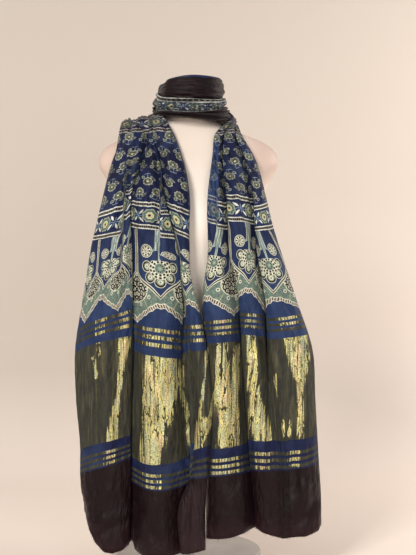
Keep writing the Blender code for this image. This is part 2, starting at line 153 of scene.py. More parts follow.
# The small waves across the open pleats and across the bunched cloth near the neck, in metres: how long and
# how high they are, over how many rows they drift by one wave, and where they start. RIPPLE is how far the
# layers below wave.
OPEN_GATHERS = ((0.027, 0.0011, 160, 0.1), (0.041, 0.0016, -210, 0.6), (0.019, 0.0007, 120, 0.3))
TIGHT_GATHERS = ((0.0135, 0.0023, 60, 0.2), (0.0185, 0.0017, -85, 0.7))
RIPPLE = 0.0027

# The hems as they hang: (across, up) along each end.
LEFT_HEM = ((-216, 120), (-206, 86), (-192, 60), (-172, 43), (-156, 40), (-135, 45), (-121, 57), (-115, 66),
            (-110, 44), (-80, 34), (-30, 37), (0, 42), (36, 50))
RIGHT_HEM = ((40, 70), (89, 76), (130, 85), (144, 88), (157, 81), (198, 69), (247, 73), (275, 81), (284, 94))
HEM_REACH = 0.15             # how far up a hem's unevenness dies out
TURNED_UP = 0.006            # how much higher the turned-under layers end

PILLAR_PITCH = 0.106
# The printed bands, by how far from the hem they lie on the flat cloth.
BANDS = {"black_end": 0.143, "tissue_low": 0.205, "tissue_top": 0.427, "gold_top": 0.4765, "scallop": 0.519,
         "arch": 0.546, "border_low": 0.682, "border_top": 0.729, "shoulder": 0.878}
# The height at which each band crosses each pleat, at its first edge, its middle and its other edge.
HEIGHTS = {
    ("left", "outer"): (
        (196, 247, 453, 496, 540, 568, 696, 743, 932),
        (218, 269, 478, 524, 566, 591, 700, 751, 931),
        (237, 283, 492, 544, 578, 605, 714, 770, 934),
    ),
    ("left", "middle"): (
        (185, 237, 461, 512, 548, 574, 724, 771, 931),
        (174, 227, 451, 505, 548, 571, 717, 764, 930),
        (182, 236, 442, 495, 543, 566, 712, 764, 932),
    ),
    ("left", "inner"): (
        (192, 249, 457, 509, 549, 576, 715, 770, 934),
        (199, 262, 462, 511, 557, 579, 705, 756, 931),
        (198, 269, 463, 511, 560, 581, 694, 745, 929),
    ),
    ("right", "outer"): (
        (227, 284, 494, 536, 569, 593, 722, 771, 914),
        (217, 277, 489, 529, 563, 583, 717, 762, 920),
        (209, 271, 483, 524, 564, 584, 715, 758, 925),
    ),
    ("right", "middle"): (
        (212, 274, 488, 528, 568, 598, 729, 776, 926),
        (210, 273, 492, 534, 579, 603, 733, 779, 929),
        (210, 274, 494, 535, 581, 604, 736, 785, 930),
    ),
    ("right", "inner"): (
        (204, 265, 479, 526, 559, 585, 719, 768, 930),
        (205, 262, 479, 522, 562, 587, 719, 768, 923),
        (195, 254, 474, 516, 563, 589, 729, 779, 922),
    ),
}
# Which printed pillar runs down each pleat, and where: the height, the pillar and the middle of the panel
# beside it.
PILLARS = {
    ("left", "outer"): (2, (
        (959, -141, -86), (886, -147, -94), (776, -164, -115), (723, -171, -138), (691, -177, -148),
        (635, -181, -157), (597, -186, -167), (566, -200, -175), (509, -213, -175),
    )),
    ("left", "middle"): (5, (
        (957, -108, -54), (776, -105, -53), (670, -104, -57), (629, -104, -55), (566, -104, -53),
        (509, -103, -53),
    )),
    ("left", "inner"): (7, (
        (953, -37, -90), (884, -25, -77), (775, -9, -45), (701, -1, -24), (627, 14, -6), (558, 31, 7),
        (504, 39, 16),
    )),
    ("right", "inner"): (7, (
        (957, 93, 56), (886, 99, 60), (777, 96, 66), (713, 91, 67), (641, 89, 60), (587, 91, 49),
        (531, 94, 47),
    )),
    ("right", "middle"): (5, (
        (953, 37, 82), (885, 47, 96), (798, 68, 112), (712, 89, 122), (635, 93, 123), (601, 91, 125),
        (566, 87, 125), (524, 87, 125),
    )),
    ("right", "outer"): (2, (
        (958, 109, 69), (887, 129, 88), (776, 155, 125), (712, 166, 148), (641, 203, 170), (582, 229, 181),
        (538, 248, 191), (481, 263, 201),
    )),
}
# Small tucks that the wide pleats have: beyond a tuck's line (to the right where side is 1, to the left
# where it is -1) the print lies further along the cloth by lift and further across it by shift, as more
# cloth is hidden in the tuck.
TUCK_COLUMNS = ("x_low", "z_low", "x_high", "z_high", "lift", "shift_low", "shift_high", "fade_top")
TUCKS = (
    ("left", "outer", 1, (-137.7, 639, -133.5, 765, -28, 53, 76, 890)),
    ("left", "middle", 1, (-57.5, 655, -57.5, 800, 13.5, 15.5, 15.5, 890)),
    ("right", "inner", -1, (61.9, 700, 61.9, 850, -8, 0, 0, 930)),
)
STRIP_AT = 0.435     # the border that runs along the cloth, seen on the neck's middle tier
# Where the neck's tiers lie on the flat cloth: at these of the section's points, this far from the outer
# selvedge.
NECK_POINTS = (0, 4, 15, 21, 26, 32, 36)
NECK_PLACES = (0.0, 0.12, STRIP_AT - 0.0215, STRIP_AT + 0.0325, 0.59, 0.77, FLAT[0])

# Painted highlights on the gold tissue, one streak a row: its two ends, its half width at each and how strong
# it is.
PAINTED_GLINT_COLUMNS = ("x_top", "z_top", "half_top", "x_low", "z_low", "half_low", "strength")
PAINTED_GLINTS = (
    (-132, 554, 11.5, -132, 462, 11.5, 1), (-132, 487, 10.5, -141, 375, 4.2, 1),
    (-142, 389, 3.2, -157, 263, 13.6, 1), (-184, 472, 2.5, -183, 448, 2.1, 0.9),
    (-195, 449, 2.1, -189, 406, 4.2, 1), (-159, 267, 12.6, -159, 213, 12.6, 0.95),
    (-188, 541, 4.2, -186, 483, 4.2, 0.8), (-173, 533, 6.3, -182, 479, 6.3, 0.8),
    (-56, 515, 35.7, -56, 459, 31.5, 0.95), (-71, 459, 16.8, -85, 328, 10.5, 0.8),
    (-38, 453, 18.9, -44, 360, 27.3, 1), (-77, 370, 14.7, -83, 231, 14.7, 0.95),
    (-50, 370, 29.4, -76, 224, 20, 1), (-73, 224, 16.8, -71, 170, 18.9, 0.95),
    (-12, 425, 3.4, -10, 388, 4.4, 1), (-17, 392, 4.6, -4, 335, 5.4, 1), (-4, 338, 4.6, 4, 262, 4, 1),
    (-7, 362, 3.2, 16, 292, 3.4, 1), (24, 521, 12.6, 24, 474, 12.6, 0.9), (40, 462, 5, 37, 411, 2, 1),
    (37, 415, 2, 26, 326, 3.6, 1), (53, 372, 2.2, 48, 326, 3.8, 0.9), (38, 328, 13, 35, 308, 15, 0.95),
    (22, 312, 3.4, 16, 252, 3, 1), (47, 312, 3.4, 29, 264, 3.4, 1), (34, 310, 9, 21, 256, 2.4, 0.7),
    (72, 529, 21, 72, 494, 18.9, 0.9), (65, 478, 6.3, 63, 349, 7.3, 1), (80, 477, 6.3, 78, 360, 12.6, 0.9),
    (104, 472, 7.3, 95, 359, 10.5, 0.95), (80, 370, 25.2, 86, 263, 25.2, 0.95),
    (70, 252, 18.9, 68, 203, 21, 0.95), (95, 252, 14.7, 93, 206, 14.7, 0.9),
    (133, 537, 14.7, 135, 508, 12.6, 0.95), (128, 495, 5.2, 133, 374, 8.4, 1),
    (137, 495, 4.2, 139, 374, 10.5, 0.9), (137, 389, 10.5, 156, 272, 23.1, 1),
    (158, 258, 16.8, 156, 212, 16.8, 0.9), (200, 312, 3, 201, 280, 3.4, 1), (183, 404, 3.6, 187, 278, 4.4, 1),
    (210, 537, 18.9, 214, 508, 18.9, 0.9), (206, 493, 8.4, 231, 399, 10.5, 0.9),
    (231, 497, 16.8, 242, 436, 12.6, 1), (242, 451, 14.7, 235, 378, 6.3, 1),
    (233, 389, 5.2, 235, 280, 8.4, 0.9), (223, 257, 12.6, 225, 215, 12.6, 0.8),
    (214, 310, 3.6, 212, 280, 4, 1),
)


def rows_of(columns, table):
    """A table's rows by their columns' names, with lengths in metres."""
    units = [1 if name in NOT_LENGTHS else 1000 for name in columns]
    return [{name: value / unit for name, value, unit in zip(columns, row, units)} for row in table]


# ---------------------------------------------------------------- what the cloth lies on
FORM = np.array(FORM_RINGS) / (1000, 1000, 1000, 1000, 1)


def bust(x, z):
    across = math.exp(-((abs(x) - BUST_X) / BUST_SPREAD) ** 2)
    return BUST_RISE * across * math.exp(-((z - BUST_Z) / BUST_SPREAD) ** 2)


def form_front(x, z):
    ring = {name: float(np.interp(z, FORM[:, 0], FORM[:, i])) for i, name in enumerate(FORM_COLUMNS)}
    share = min(abs(x) / ring["half"], 0.97)
    return ring["front"] * (1 - share ** ring["square"]) ** (1 / ring["square"]) + bust(x, z)


HANG_X, HANG_Z = np.linspace(0, 0.30, 61), np.linspace(0.60, 0.94, 35)


def hang_table():
    """What a cloth that comes down from the shoulder lies on: the furthest the form reaches there or above."""
    free = HANG_X > FREE_FROM
    front = np.array([[form_front(x, z) for x in HANG_X] for z in HANG_Z])
    front[:, free] = 0
    front = np.maximum.accumulate(front[::-1])[::-1]
    line = (front[:, None, :] - HANG_FLARE * np.abs(HANG_X[:, None] - HANG_X[None, :])).max(axis=2)
    line[:, free] = line[:, ~free][:, -1:] - FREE_FLARE * (HANG_X[free] - FREE_FROM)
    return line


HANG = hang_table()


def hang_line(x, z):
    at = (np.clip(z, HANG_Z[0], HANG_Z[-1]) - HANG_Z[0]) / (HANG_Z[1] - HANG_Z[0])
    row = min(int(at), len(HANG_Z) - 2)
    return float(np.interp(abs(x), HANG_X, (row + 1 - at) * HANG[row] + (at - row) * HANG[row + 1]))


# ---------------------------------------------------------------- the cloth's shape
def mixed(a, b, share):
    return (1 - share) * a + share * b


def ease(low, high, value):
    """0 below low, 1 above high, and smooth between."""
    share = np.clip((value - low) / (high - low), 0, 1)
    return share * share * (3 - 2 * share)


def wavy(turns):
    return np.sin(2 * np.pi * turns)


def pleated_section(edge, lap, tuck, gap, crown, pleat_1=1.0, lift=0.0, raised=0.0, swing=0.0, recess=0.0):
    """Points across the cloth, from the outer selvedge to the inner one, as (distance in, distance out):
    three pleats that lap over each other, with both selvedges turned under."""
    level = [CLEARANCE + i * gap for i in range(5)]
    turn = 0.5 * gap
    width = [edge[i + 1] - edge[i] for i in range(3)]
    rise = [min(crown * w, DEEPEST_BULGE) for w in width]
    lap = min(lap[0], 0.80 * width[0]), min(lap[1], 0.62 * width[1])
    tuck = [min(t, 0.82 * edge[3]) for t in tuck]

    def face(start, end, height, front, set_back):
        return [(mixed(start, end, share), front + up * height - set_back * max(0.0, 1 - share / 0.30))
                for share, up in ((0.07, 0.10), (0.27, 0.72), (0.50, 1.00), (0.73, 0.80), (0.94, 0.22))]

    def behind(deep):
        near = max(0.6 * deep, deep - 1.3 * gap)
        return (0, 3.5), (-turn, 3), (-near, 3), (-deep, 2.5), (-near, 2), (-0.4 * turn, 2)

    def fold(at, first, second, share):
        return [(at + mixed(a[0], b[0], share), CLEARANCE + mixed(a[1], b[1], share) * gap)
                for a, b in zip(first, second)]

    valley = (-0.003, 3.6), (-0.001, 3.1), (0.001, 2.6), (0.003, 2.2), (0.007, 2.0), (0.013, 2.3)
    hidden = 0.028
    swung = (behind(lap[1]),
             ((0.0, 3.5), (0.08 * recess, 2.9), (0.30 * recess, 2.2), (0.55 * recess, 2.0),
              (0.80 * recess, 2.5), (recess, 3.6)),
             ((0.3 * hidden, 3.7), (0.75 * hidden, 3.8), (hidden, 4.4), (0.6 * hidden, 5.1),
              (0.25 * hidden, 5.3), (0.0, 5.6)))
    first = 0 if swing < 0.5 else 1
    opening = min(1.0, 2 * (1 - pleat_1))
    front_3 = level[4] + lift
    inner = mixed(level[0], front_3 - gap, raised)
    points = [(edge[0] + share * tuck[0], level[1]) for share in (1.0, 0.67, 0.34)]
    points += [(edge[0] + turn, level[1]), (edge[0], (level[1] + level[4]) / 2)]
    points += face(edge[0], edge[1], rise[0], level[4], 0.0)
    points += fold(edge[1], behind(lap[0]), valley, opening)
    points += face(edge[1], edge[2], rise[1], level[4], 1.7 * gap)
    points += fold(edge[2], swung[first], swung[first + 1], 2 * swing - first)
    start = points[-1][0] if swing > 0.02 else edge[2]
    points += face(start, edge[3], rise[2] * (1 - 0.4 * swing), front_3,
                   mixed(1.7 * gap + lift, max(0.0, front_3 - points[-1][1] - 0.3 * gap), min(1.0, 4 * swing)))
    points.append((edge[3], (inner + front_3) / 2))
    points += [(edge[3] - turn, inner)] + [(edge[3] - share * tuck[1], inner) for share in (0.34, 0.67, 1.0)]
    points = np.array(points)
    if opening == 1.0:
        for i in range(9, 18):
            points[i] = mixed(mixed(points[8], points[18], (i - 8) / 10), points[i], 2 * pleat_1)
    return points


def fall_station(row, side):
    edge = [abs(row[f"edge_{i}"] - row["edge_0"]) for i in range(4)]
    gap = float(np.interp(row["z"], (0.78, 0.92), (FALL_GAP, SHOULDER_GAP)))
    openings = (row.get(name, 0.0) for name in ("pleat_1", "lift", "raised", "swing", "recess"))
    section = pleated_section(edge, (row["lap_1"], row["lap_2"]), (row["tuck_out"], row["tuck_in"]), gap,
                              FALL_BULGE, *openings)
    points = []
    for distance_in, distance_out in section:
        x = row["edge_0"] - side * distance_in
        z = row["z"] - row["drop"] * (1 - distance_in / edge[3])
        points.append((x, -(hang_line(x, z) + distance_out), z))
    return np.array(points)


def loop_station(row):
    def point(phi, radius, z):
        angle = math.radians(phi)
        return np.array((LOOP_CENTRE_X + radius * math.sin(angle), -radius * math.cos(angle), z))

    low, top = (point(row["phi_" + end], row["r_" + end], row["z_" + end]) for end in ("low", "top"))
    height = np.linalg.norm(top - low)
    across = (top - low) / height
    middle = math.radians((row["phi_low"] + row["phi_top"]) / 2)
    out = np.cross(np.array((-math.cos(middle), -math.sin(middle), 0.0)), across)
    out /= np.linalg.norm(out)
    if out @ np.array((math.sin(middle), -math.cos(middle), 0.6)) < 0:
        out = -out
    edge = [0.0, row["fold_1"] * height, row["fold_2"] * height, height]
    lap, tuck = LOOP_OVERLAP * height / 3, LOOP_TUCK * height / 3
    section = pleated_section(edge, (lap, lap), (tuck, tuck), row["gap"], LOOP_BULGE)
    return np.array([low + a * across + n * (1 - LOOP_THINNING * a / height) * out for a, n in section])


def spline(knots, values, at):
    """Smooth curves through values (one row for each knot), read at the parameters in at."""
    knots, values, at = np.asarray(knots, float), np.asarray(values, float), np.asarray(at, float)
    as_column = (-1, *[1] * (values.ndim - 1))
    stride = np.diff(knots)
    slope = np.diff(values, axis=0) / stride.reshape(as_column)
    tangent = np.empty_like(values)
    tangent[0], tangent[-1] = slope[0], slope[-1]
    before, after = stride[:-1].reshape(as_column), stride[1:].reshape(as_column)
    tangent[1:-1] = (slope[:-1] * after + slope[1:] * before) / (before + after)
    i = np.clip(np.searchsorted(knots, at, side="right") - 1, 0, len(stride) - 1)
    h = stride[i].reshape(as_column)
    u = ((at - knots[i]) / stride[i]).reshape(h.shape)
    return ((2 * u**3 - 3 * u**2 + 1) * values[i] + (u**3 - 2 * u**2 + u) * h * tangent[i]
            + (3 * u**2 - 2 * u**3) * values[i + 1] + (u**3 - u**2) * h * tangent[i + 1])


def lengths(curve):
    return np.concatenate([[0], np.cumsum(np.linalg.norm(np.diff(curve, axis=0), axis=1))])


def cloth_rows():
    """The cloth's rows of section points, from the left hem round the neck to the right hem."""
    left = [fall_station(row, -1) for row in rows_of(FALL_COLUMNS, LEFT_FALL)][::-1]
    loop = [loop_station(row) for row in rows_of(LOOP_COLUMNS, LOOP_STATIONS)]
    right = [fall_station(row, 1) for row in rows_of(FALL_COLUMNS, RIGHT_FALL)]
    net = np.array(left + loop + right)
    knots = lengths(net.mean(axis=1))
    left_top, right_top = knots[len(left)], knots[len(left) + len(loop) - 1]

    def fall(path, length):
        fine = spline(knots, net, path)
        wanted = length * np.linspace(0, 1, FALL_ROWS + 1)[1:]
        rows = np.empty((FALL_ROWS, net.shape[1], 3))
        along = np.array([lengths(fine[:, i]) for i in range(net.shape[1])])
        padded = np.pad(along, ((3, 3), (0, 0)), mode="edge")
        along = sum(padded[k:k + net.shape[1]] for k in range(7)) / 7
        for i, k in np.ndindex(net.shape[1], 3):
            rows[:, i, k] = np.interp(wanted, along[i], fine[:, i, k])
        return rows

    left = fall(np.linspace(left_top, knots[0], 900), LEFT_LENGTH)[::-1]
    right = fall(np.linspace(right_top, knots[-1], 900), RIGHT_LENGTH)
    return np.concatenate([left, spline(knots, net, np.linspace(left_top, right_top, LOOP_ROWS + 1)), right])


def finer(rows):
    """The rows with more points across, on smooth curves through the section's points."""
    columns = np.arange(STARTS[-1] + 1)
    return np.array([spline(lengths(row), row, np.interp(columns, STARTS, lengths(row))) for row in rows])


def uneven_hems(rows):
    """The rows with each hem pulled up or down to the line it hangs to. Turned-under layers end a little
    higher."""
    rows = rows.copy()
    turned = np.full(rows.shape[1], TURNED_UP)
    turned[STARTS[4]:STARTS[32] + 1] = 0
    for fall, hem in ((rows[:FALL_ROWS], LEFT_HEM), (rows[::-1][:FALL_ROWS], RIGHT_HEM)):
        x, z = fall[0, :, 0], fall[0, :, 2]
        wanted = np.interp(x, *np.transpose(hem) / 1000) + turned - z
        fall[..., 2] += wanted * (1 - ease(0, HEM_REACH, fall[..., 2] - z))
    return rows


def gathers(rows):
    """The rows with their fine gathers and creases. All the layers at one place move together, so that none
    meets another."""
    low, high = rows[:, STARTS[4]], rows[:, STARTS[32]]
    across = (high - low) / np.linalg.norm(high - low, axis=1)[:, None]
    out = np.cross(across, np.gradient(rows.mean(axis=1), axis=0))
    for _ in range(3):
        out[1:-1] = (out[:-2] + 2 * out[1:-1] + out[2:]) / 4
    out /= np.linalg.norm(out, axis=1)[:, None]
    distance = np.einsum("ijk,ik->ij", rows - low[:, None], across)
    run, right_start = np.arange(len(rows))[:, None], FALL_ROWS + LOOP_ROWS
    neck = ease(FALL_ROWS - 14, FALL_ROWS + 10, run) * (1 - ease(right_start - 10, right_start + 14, run))
    tight = ease(FALL_ROWS - 48, FALL_ROWS - 4, run) * (1 - ease(right_start + 4, right_start + 48, run))
    hanging = np.minimum(run, len(rows) - 1 - run) / FALL_ROWS
    bent = distance + 0.006 * wavy(distance / 0.071 + run / 190) + 0.003 * wavy(distance / 0.033 - run / 77)
    # the tiers under the top ones are bunched more, and so is the lowest tier of the neck
    under = np.ones(rows.shape[1])
    for first, last in PLEATS.values():
        under[STARTS[first]:STARTS[last] + 1] = 0
    under[1:-1] = (under[:-2] + 2 * under[1:-1] + under[2:]) / 4
    loose = np.interp(np.arange(rows.shape[1]), [STARTS[k] for k in (3, 5, 22, 27)], (0.2, 0.8, 0.9, 0.28))
    wide = (1 - neck) * (0.35 + 0.65 * ease(0.15, 0.55, hanging))
    bunched = tight * mixed(loose * neck + 0.4 * (1 - neck), mixed(0.4, 1.0, neck), under)
    wave = (1 - 0.75 * tight) * under * RIPPLE * wavy(run / 3.4 + bent / 0.043)
    for share, kinds in ((wide, OPEN_GATHERS), (bunched, TIGHT_GATHERS)):
        for length, height, drift, phase in kinds:
            wave = wave + share * height * wavy(bent / length + run / drift + phase)
    x, z = rows[..., 0], rows[..., 2]
    for crease in rows_of(CREASE_COLUMNS, CREASES):
        share = (crease["z_top"] - z) / (crease["z_top"] - crease["z_low"])
        line = mixed(crease["x_top"], crease["x_low"], share)
        window = ease(-0.10, 0.15, share) * (1 - ease(0.80, 1.15, share))
        wave += (1 - neck) * crease["height"] * window * np.exp(-((x - line) / crease["half"]) ** 2)
    return rows + wave[..., None] * out[:, None]


# ---------------------------------------------------------------- where the print lies on the hanging cloth
def through_three(low, middle, high, share):
    """A smooth curve through three values at shares 0, 0.5 and 1."""
    ends = low * (1 - share) * (1 - 2 * share) + high * share * (2 * share - 1)
    return ends + middle * 4 * share * (1 - share)


def fall_places(block, fall):
    """For a hanging end's rows, from the hem up: how far each point is from the outer selvedge and from the
    hem, on the flat cloth."""
    across, along = np.empty(block.shape[:2]), np.empty(block.shape[:2])
    arc = np.array([lengths(row) for row in block])
    known, heights = {0: np.zeros(len(block)), STARTS[36]: np.full(len(block), FLAT[0])}, {}
    for pleat, (first, last) in PLEATS.items():
        a, b = STARTS[first], STARTS[last]
        pillar_number, lines = PILLARS[fall, pleat]
        lines = np.array(lines)[::-1] / 1000
        z = block[:, (a + b) // 2, 2]
        pillar, panel = (np.interp(z, lines[:, 0], lines[:, k]) for k in (1, 2))
        slope = (arc[:, b] - arc[:, a]) / (block[:, b, 0] - block[:, a, 0])
        scale = np.clip(PILLAR_PITCH / 2 / np.abs(slope * (panel - pillar)), 0.8, 2.4)
        pillar_arc = arc[:, a] + slope * (pillar - block[:, a, 0])
        shares = (arc[:, a:b + 1] - arc[:, a:a + 1]).mean(axis=0) / (arc[:, b] - arc[:, a]).mean()
        for j, share in zip(range(a, b + 1), shares):
            known[j] = pillar_number * PILLAR_PITCH + (arc[:, j] - pillar_arc) * scale
            heights[j] = through_three(*np.array(HEIGHTS[fall, pleat]) / 1000, share)
    columns = sorted(known)
    for i in range(len(block)):
        across[i] = np.interp(arc[i], arc[i, columns], np.maximum.accumulate([known[j][i] for j in columns]))

    columns, at = sorted(heights), list(BANDS.values())
    for j in range(block.shape[1]):
        crossed = [np.interp(j, columns, [heights[c][k] for c in columns]) for k in range(len(BANDS))]
        z, run = block[:, j, 2], lengths(block[:, j])
        past = z > crossed[-1]
        top = int(np.argmax(past)) if past.any() else len(z)
        along[:, j] = np.interp(z, crossed, at)
        lowest = z < crossed[0]
        along[lowest, j] = at[0] * run[lowest] / np.interp(crossed[0], z, run)
        along[top:, j] = at[-1] + run[top:] - np.interp(crossed[-1], z[:top + 1], run[:top + 1])
    for tuck_fall, pleat, side, sizes in TUCKS:
        if tuck_fall == fall:
            tuck, (first, last) = rows_of(TUCK_COLUMNS, [sizes])[0], PLEATS[pleat]
            part = slice(STARTS[first], STARTS[last] + 1)
            x, z = block[:, part, 0], block[:, part, 2]
            down = (z - tuck["z_low"]) / (tuck["z_high"] - tuck["z_low"])
            beyond = side * (x - mixed(tuck["x_low"], tuck["x_high"], down))
            share = ease(-0.0012, 0.0012, beyond) * ease(-0.010, 0.016, z - tuck["z_low"])
            share *= 1 - ease(tuck["fade_top"] - 0.10, tuck["fade_top"], z)
            along[:, part] += share * tuck["lift"]
            across[:, part] += share * mixed(tuck["shift_low"], tuck["shift_high"], np.clip(down, 0, 1.2))
    return across, along


def cloth_places(rows):
    """Every point's place on the flat cloth: from the outer selvedge, and from the left hem."""
    left_across, left_along = fall_places(rows[:FALL_ROWS + 1], "left")
    right_across, right_along = (a[::-1] for a in fall_places(rows[FALL_ROWS + LOOP_ROWS:][::-1], "right"))
    right_along = FLAT[1] - right_along
    share = np.linspace(0, 1, LOOP_ROWS + 1)[:, None]
    marks = [STARTS[point] for point in NECK_POINTS]
    arcs = [lengths(row) for row in rows[FALL_ROWS:FALL_ROWS + LOOP_ROWS + 1]]
    neck = np.array([np.interp(arc, arc[marks], NECK_PLACES) for arc in arcs])
    ends = mixed(left_across[-1], right_across[0], ease(0.2, 0.8, share))
    across = mixed(neck, ends, 1 - ease(0.0, 0.30, share) * (1 - ease(0.78, 1.0, share)))
    return (np.concatenate([left_across[:-1], across, right_across[1:]]),
            np.concatenate([left_along[:-1], mixed(left_along[-1], right_along[0], share), right_along[1:]]))


# painted highlight: how strongly each point gets the painted gold glint, from the listed streaks, on the seen
# faces of the pleats only
def glint_painting(rows):
    x, z = rows[..., 0], rows[..., 2]
    total = np.zeros_like(x)
    for row in rows_of(PAINTED_GLINT_COLUMNS, PAINTED_GLINTS):
        share = (row["z_top"] - z) / (row["z_top"] - row["z_low"])
        half = mixed(row["half_top"], row["half_low"], np.clip(share, 0, 1))
        line = mixed(row["x_top"], row["x_low"], share)
        window = ease(-0.08, 0.02, share) * (1 - ease(0.96, 1.08, share))
        total = np.maximum(total, row["strength"] * window * (1 - ease(0.45, 1.4, np.abs(x - line) / half)))
    seen = np.zeros(rows.shape[1])
    for first, last in (*PLEATS.values(), (21, 26)):
        seen[STARTS[first]:STARTS[last] + 1] = 1
    return total * seen


def paler(rows):
    """How much paler the cloth is made: most on the inner edges near the neck, and a little on the left end's
    front flap."""
    x, z = rows[..., 0], rows[..., 2]
    pale = np.zeros_like(x)
    pale[FALL_ROWS + LOOP_ROWS:] = 1 - ease(0.0640, 0.0665, x[FALL_ROWS + LOOP_ROWS:])
    pale[:FALL_ROWS, STARTS[31]:] = 0.8
    pale[:, :STARTS[26]] = 0
    pale *= ease(0.715, 0.745, z) * (1 - ease(0.885, 0.920, z))
    flap = slice(None, FALL_ROWS), slice(STARTS[26], STARTS[32])
    pale[flap] += 0.20 * (1 - ease(0.150, 0.210, z[flap]))
    return pale


# ---------------------------------------------------------------- objects
def added(name, data):
    piece = bpy.data.objects.new(name, data)
    bpy.context.scene.collection.objects.link(piece)
    return piece


def settled(raw, name):
    """The object with its modifiers made real, as a plain mesh at the origin."""
    solid = bpy.data.meshes.new_from_object(raw.evaluated_get(bpy.context.evaluated_depsgraph_get()))
    bpy.data.objects.remove(raw)
    solid.name = name
    return added(name, solid)


def make_sheet(name, rows, across, along, painted_glint, pale):
    count, columns = rows.shape[:2]
    mesh = bpy.data.meshes.new(name)
    faces = [(i * columns + j, i * columns + j + 1, (i + 1) * columns + j + 1, (i + 1) * columns + j)
             for i in range(count - 1) for j in range(columns - 1)]
    mesh.from_pydata([tuple(p) for p in rows.reshape(-1, 3)], [], faces, shade_flat=False)
    corner = np.empty(len(mesh.loops), np.int32)
    mesh.loops.foreach_get("vertex_index", corner)
    thread = np.stack([across.ravel()[corner], along.ravel()[corner]], axis=1).astype(np.float32)
    mesh.uv_layers.new(name="thread").data.foreach_set("uv", thread.ravel())
    for label, values in (("painted_glint", painted_glint), ("pale", pale)):
        made = mesh.attributes.new(label, "FLOAT", "POINT")
        made.data.foreach_set("value", values.astype(np.float32).ravel())
    for material in (ajrakh_material("ajrakh_face", False), ajrakh_material("ajrakh_reverse", True)):
        mesh.materials.append(material)
    raw = added(name + "_raw", mesh)
    wall = raw.modifiers.new("thickness", "SOLIDIFY")
    wall.thickness, wall.offset, wall.material_offset = CLOTH_THICKNESS, 0, 1
    return settled(raw, name)


# ---------------------------------------------------------------- numbers in a node tree
class Number:
    """A number that a node tree works out, written with ordinary arithmetic."""

    def __init__(self, socket):
        self.tree, self.socket = socket.id_data, socket

    def __add__(self, other):
        return step("ADD", self, other)

    def __sub__(self, other):
        return step("SUBTRACT", self, other)

    def __rsub__(self, other):
        return step("SUBTRACT", other, self)

    def __mul__(self, other):
        return step("MULTIPLY", self, other)

    def __truediv__(self, other):
        return step("DIVIDE", self, other)

    __radd__, __rmul__ = __add__, __mul__

    def __abs__(self):
        return step("ABSOLUTE", self)


def link(value, socket):
    value = value.socket if isinstance(value, Number) else value
    if isinstance(value, bpy.types.NodeSocket):
        socket.id_data.links.new(value, socket)
    elif value is not None:
        socket.default_value = value


def node(tree, kind, inputs=(), **settings):
    """A new node with its settings, and with its inputs by their names or numbers."""
    made = tree.nodes.new(kind)
    for name, value in settings.items():
        setattr(made, name, value)
    for name, value in dict(inputs).items():
        link(value, made.inputs[name])
    return made


def step(operation, *values):
    tree = next(value.tree for value in values if isinstance(value, Number))
    return Number(node(tree, "ShaderNodeMath", enumerate(values), operation=operation).outputs[0])


def ramp(value, low, high):
    """0 at low and 1 at high, straight between and held beyond."""
    made = node(value.tree, "ShaderNodeMapRange", {"Value": value, "From Min": low, "From Max": high})
    return Number(made.outputs["Result"])


EDGE = 0.0005      # how soft a printed edge is


def below(value, limit, soft=EDGE):
    return ramp(value, limit + soft, limit - soft)


def between(value, low, high, soft=EDGE):
    return below(abs(value - (high + low) / 2), (high - low) / 2, soft)


def greatest(a, b):
    return step("MAXIMUM", a, b)


def least(a, b):
    return step("MINIMUM", a, b)


def cosine(angle):
    return step("COSINE", angle)


def angle_of(x, y):
    return step("ARCTAN2", x, y)


def radius(x, y):
    return step("SQRT", x * x + y * y)


def cell(value, size):
    """How far value is from the middle of its cell, and the cell's number."""
    number = step("FLOOR", value * (1 / size))
    return value - (number + 0.5) * size, number


def painted(base, *layers, field=1.0):
    """base with each layer's colour laid over it where its mask and the field are 1."""
    for colour, mask in layers:
        mask = mask * field
        blend = node(mask.tree, "ShaderNodeMix", {0: mask}, data_type="RGBA")
        for value, socket in ((base, blend.inputs[6]), (colour, blend.inputs[7])):
            link((*value, 1) if isinstance(value, tuple) else value, socket)
        base = blend.outputs[2]
    return base


def parts_of(socket, kind="XYZ"):
    """The numbers in a vector, or in a colour."""
    return [Number(part) for part in node(socket.id_data, "ShaderNodeSeparate" + kind, {0: socket}).outputs]


def vector_of(x, y, z=0.0):
    return node(x.tree, "ShaderNodeCombineXYZ", enumerate((x, y, z))).outputs[0]


def noise(vector, scale=1.0, detail=2.0, rough=0.5):
    sizes = {"Vector": vector, "Scale": scale, "Detail": detail, "Roughness": rough}
    return node(vector.id_data, "ShaderNodeTexNoise", sizes).outputs


def cloud(x, y, z=0.0, **settings):
    return Number(noise(vector_of(x, y, z), **settings)["Fac"])


def bumped(height, distance, strength, normal=None):
    sizes = {"Height": height, "Distance": distance, "Strength": strength, "Normal": normal}
    return node(height.tree, "ShaderNodeBump", sizes).outputs[0]


def object_place(tree):
    return node(tree, "ShaderNodeTexCoord").outputs["Object"]


def new_group(name, inputs, outputs):
    """A shader node group, with its inner input and output sockets."""
    tree = bpy.data.node_groups.new(name, "ShaderNodeTree")
    for label, value in inputs.items():
        kind = "NodeSocketVector" if isinstance(value, tuple) else "NodeSocketFloat"
        tree.interface.new_socket(label, in_out="INPUT", socket_type=kind).default_value = value
    for label, kind in outputs.items():
        tree.interface.new_socket(label, in_out="OUTPUT", socket_type="NodeSocket" + kind)
    return tree, tree.nodes.new("NodeGroupInput").outputs, tree.nodes.new("NodeGroupOutput").inputs


def placed(tree, group, **inputs):
    """What a node group gives in a material's tree."""
    made = node(tree, "ShaderNodeGroup", inputs, node_tree=group)
    return {socket.name: Number(socket) for socket in made.outputs}


def linear(*srgb):
    """A colour as shaders want it, from the 0 to 255 values that a picture shows."""
    return tuple(c / 12.92 / 255 if c <= 10 else ((c / 255 + 0.055) / 1.055) ** 2.4 for c in srgb)


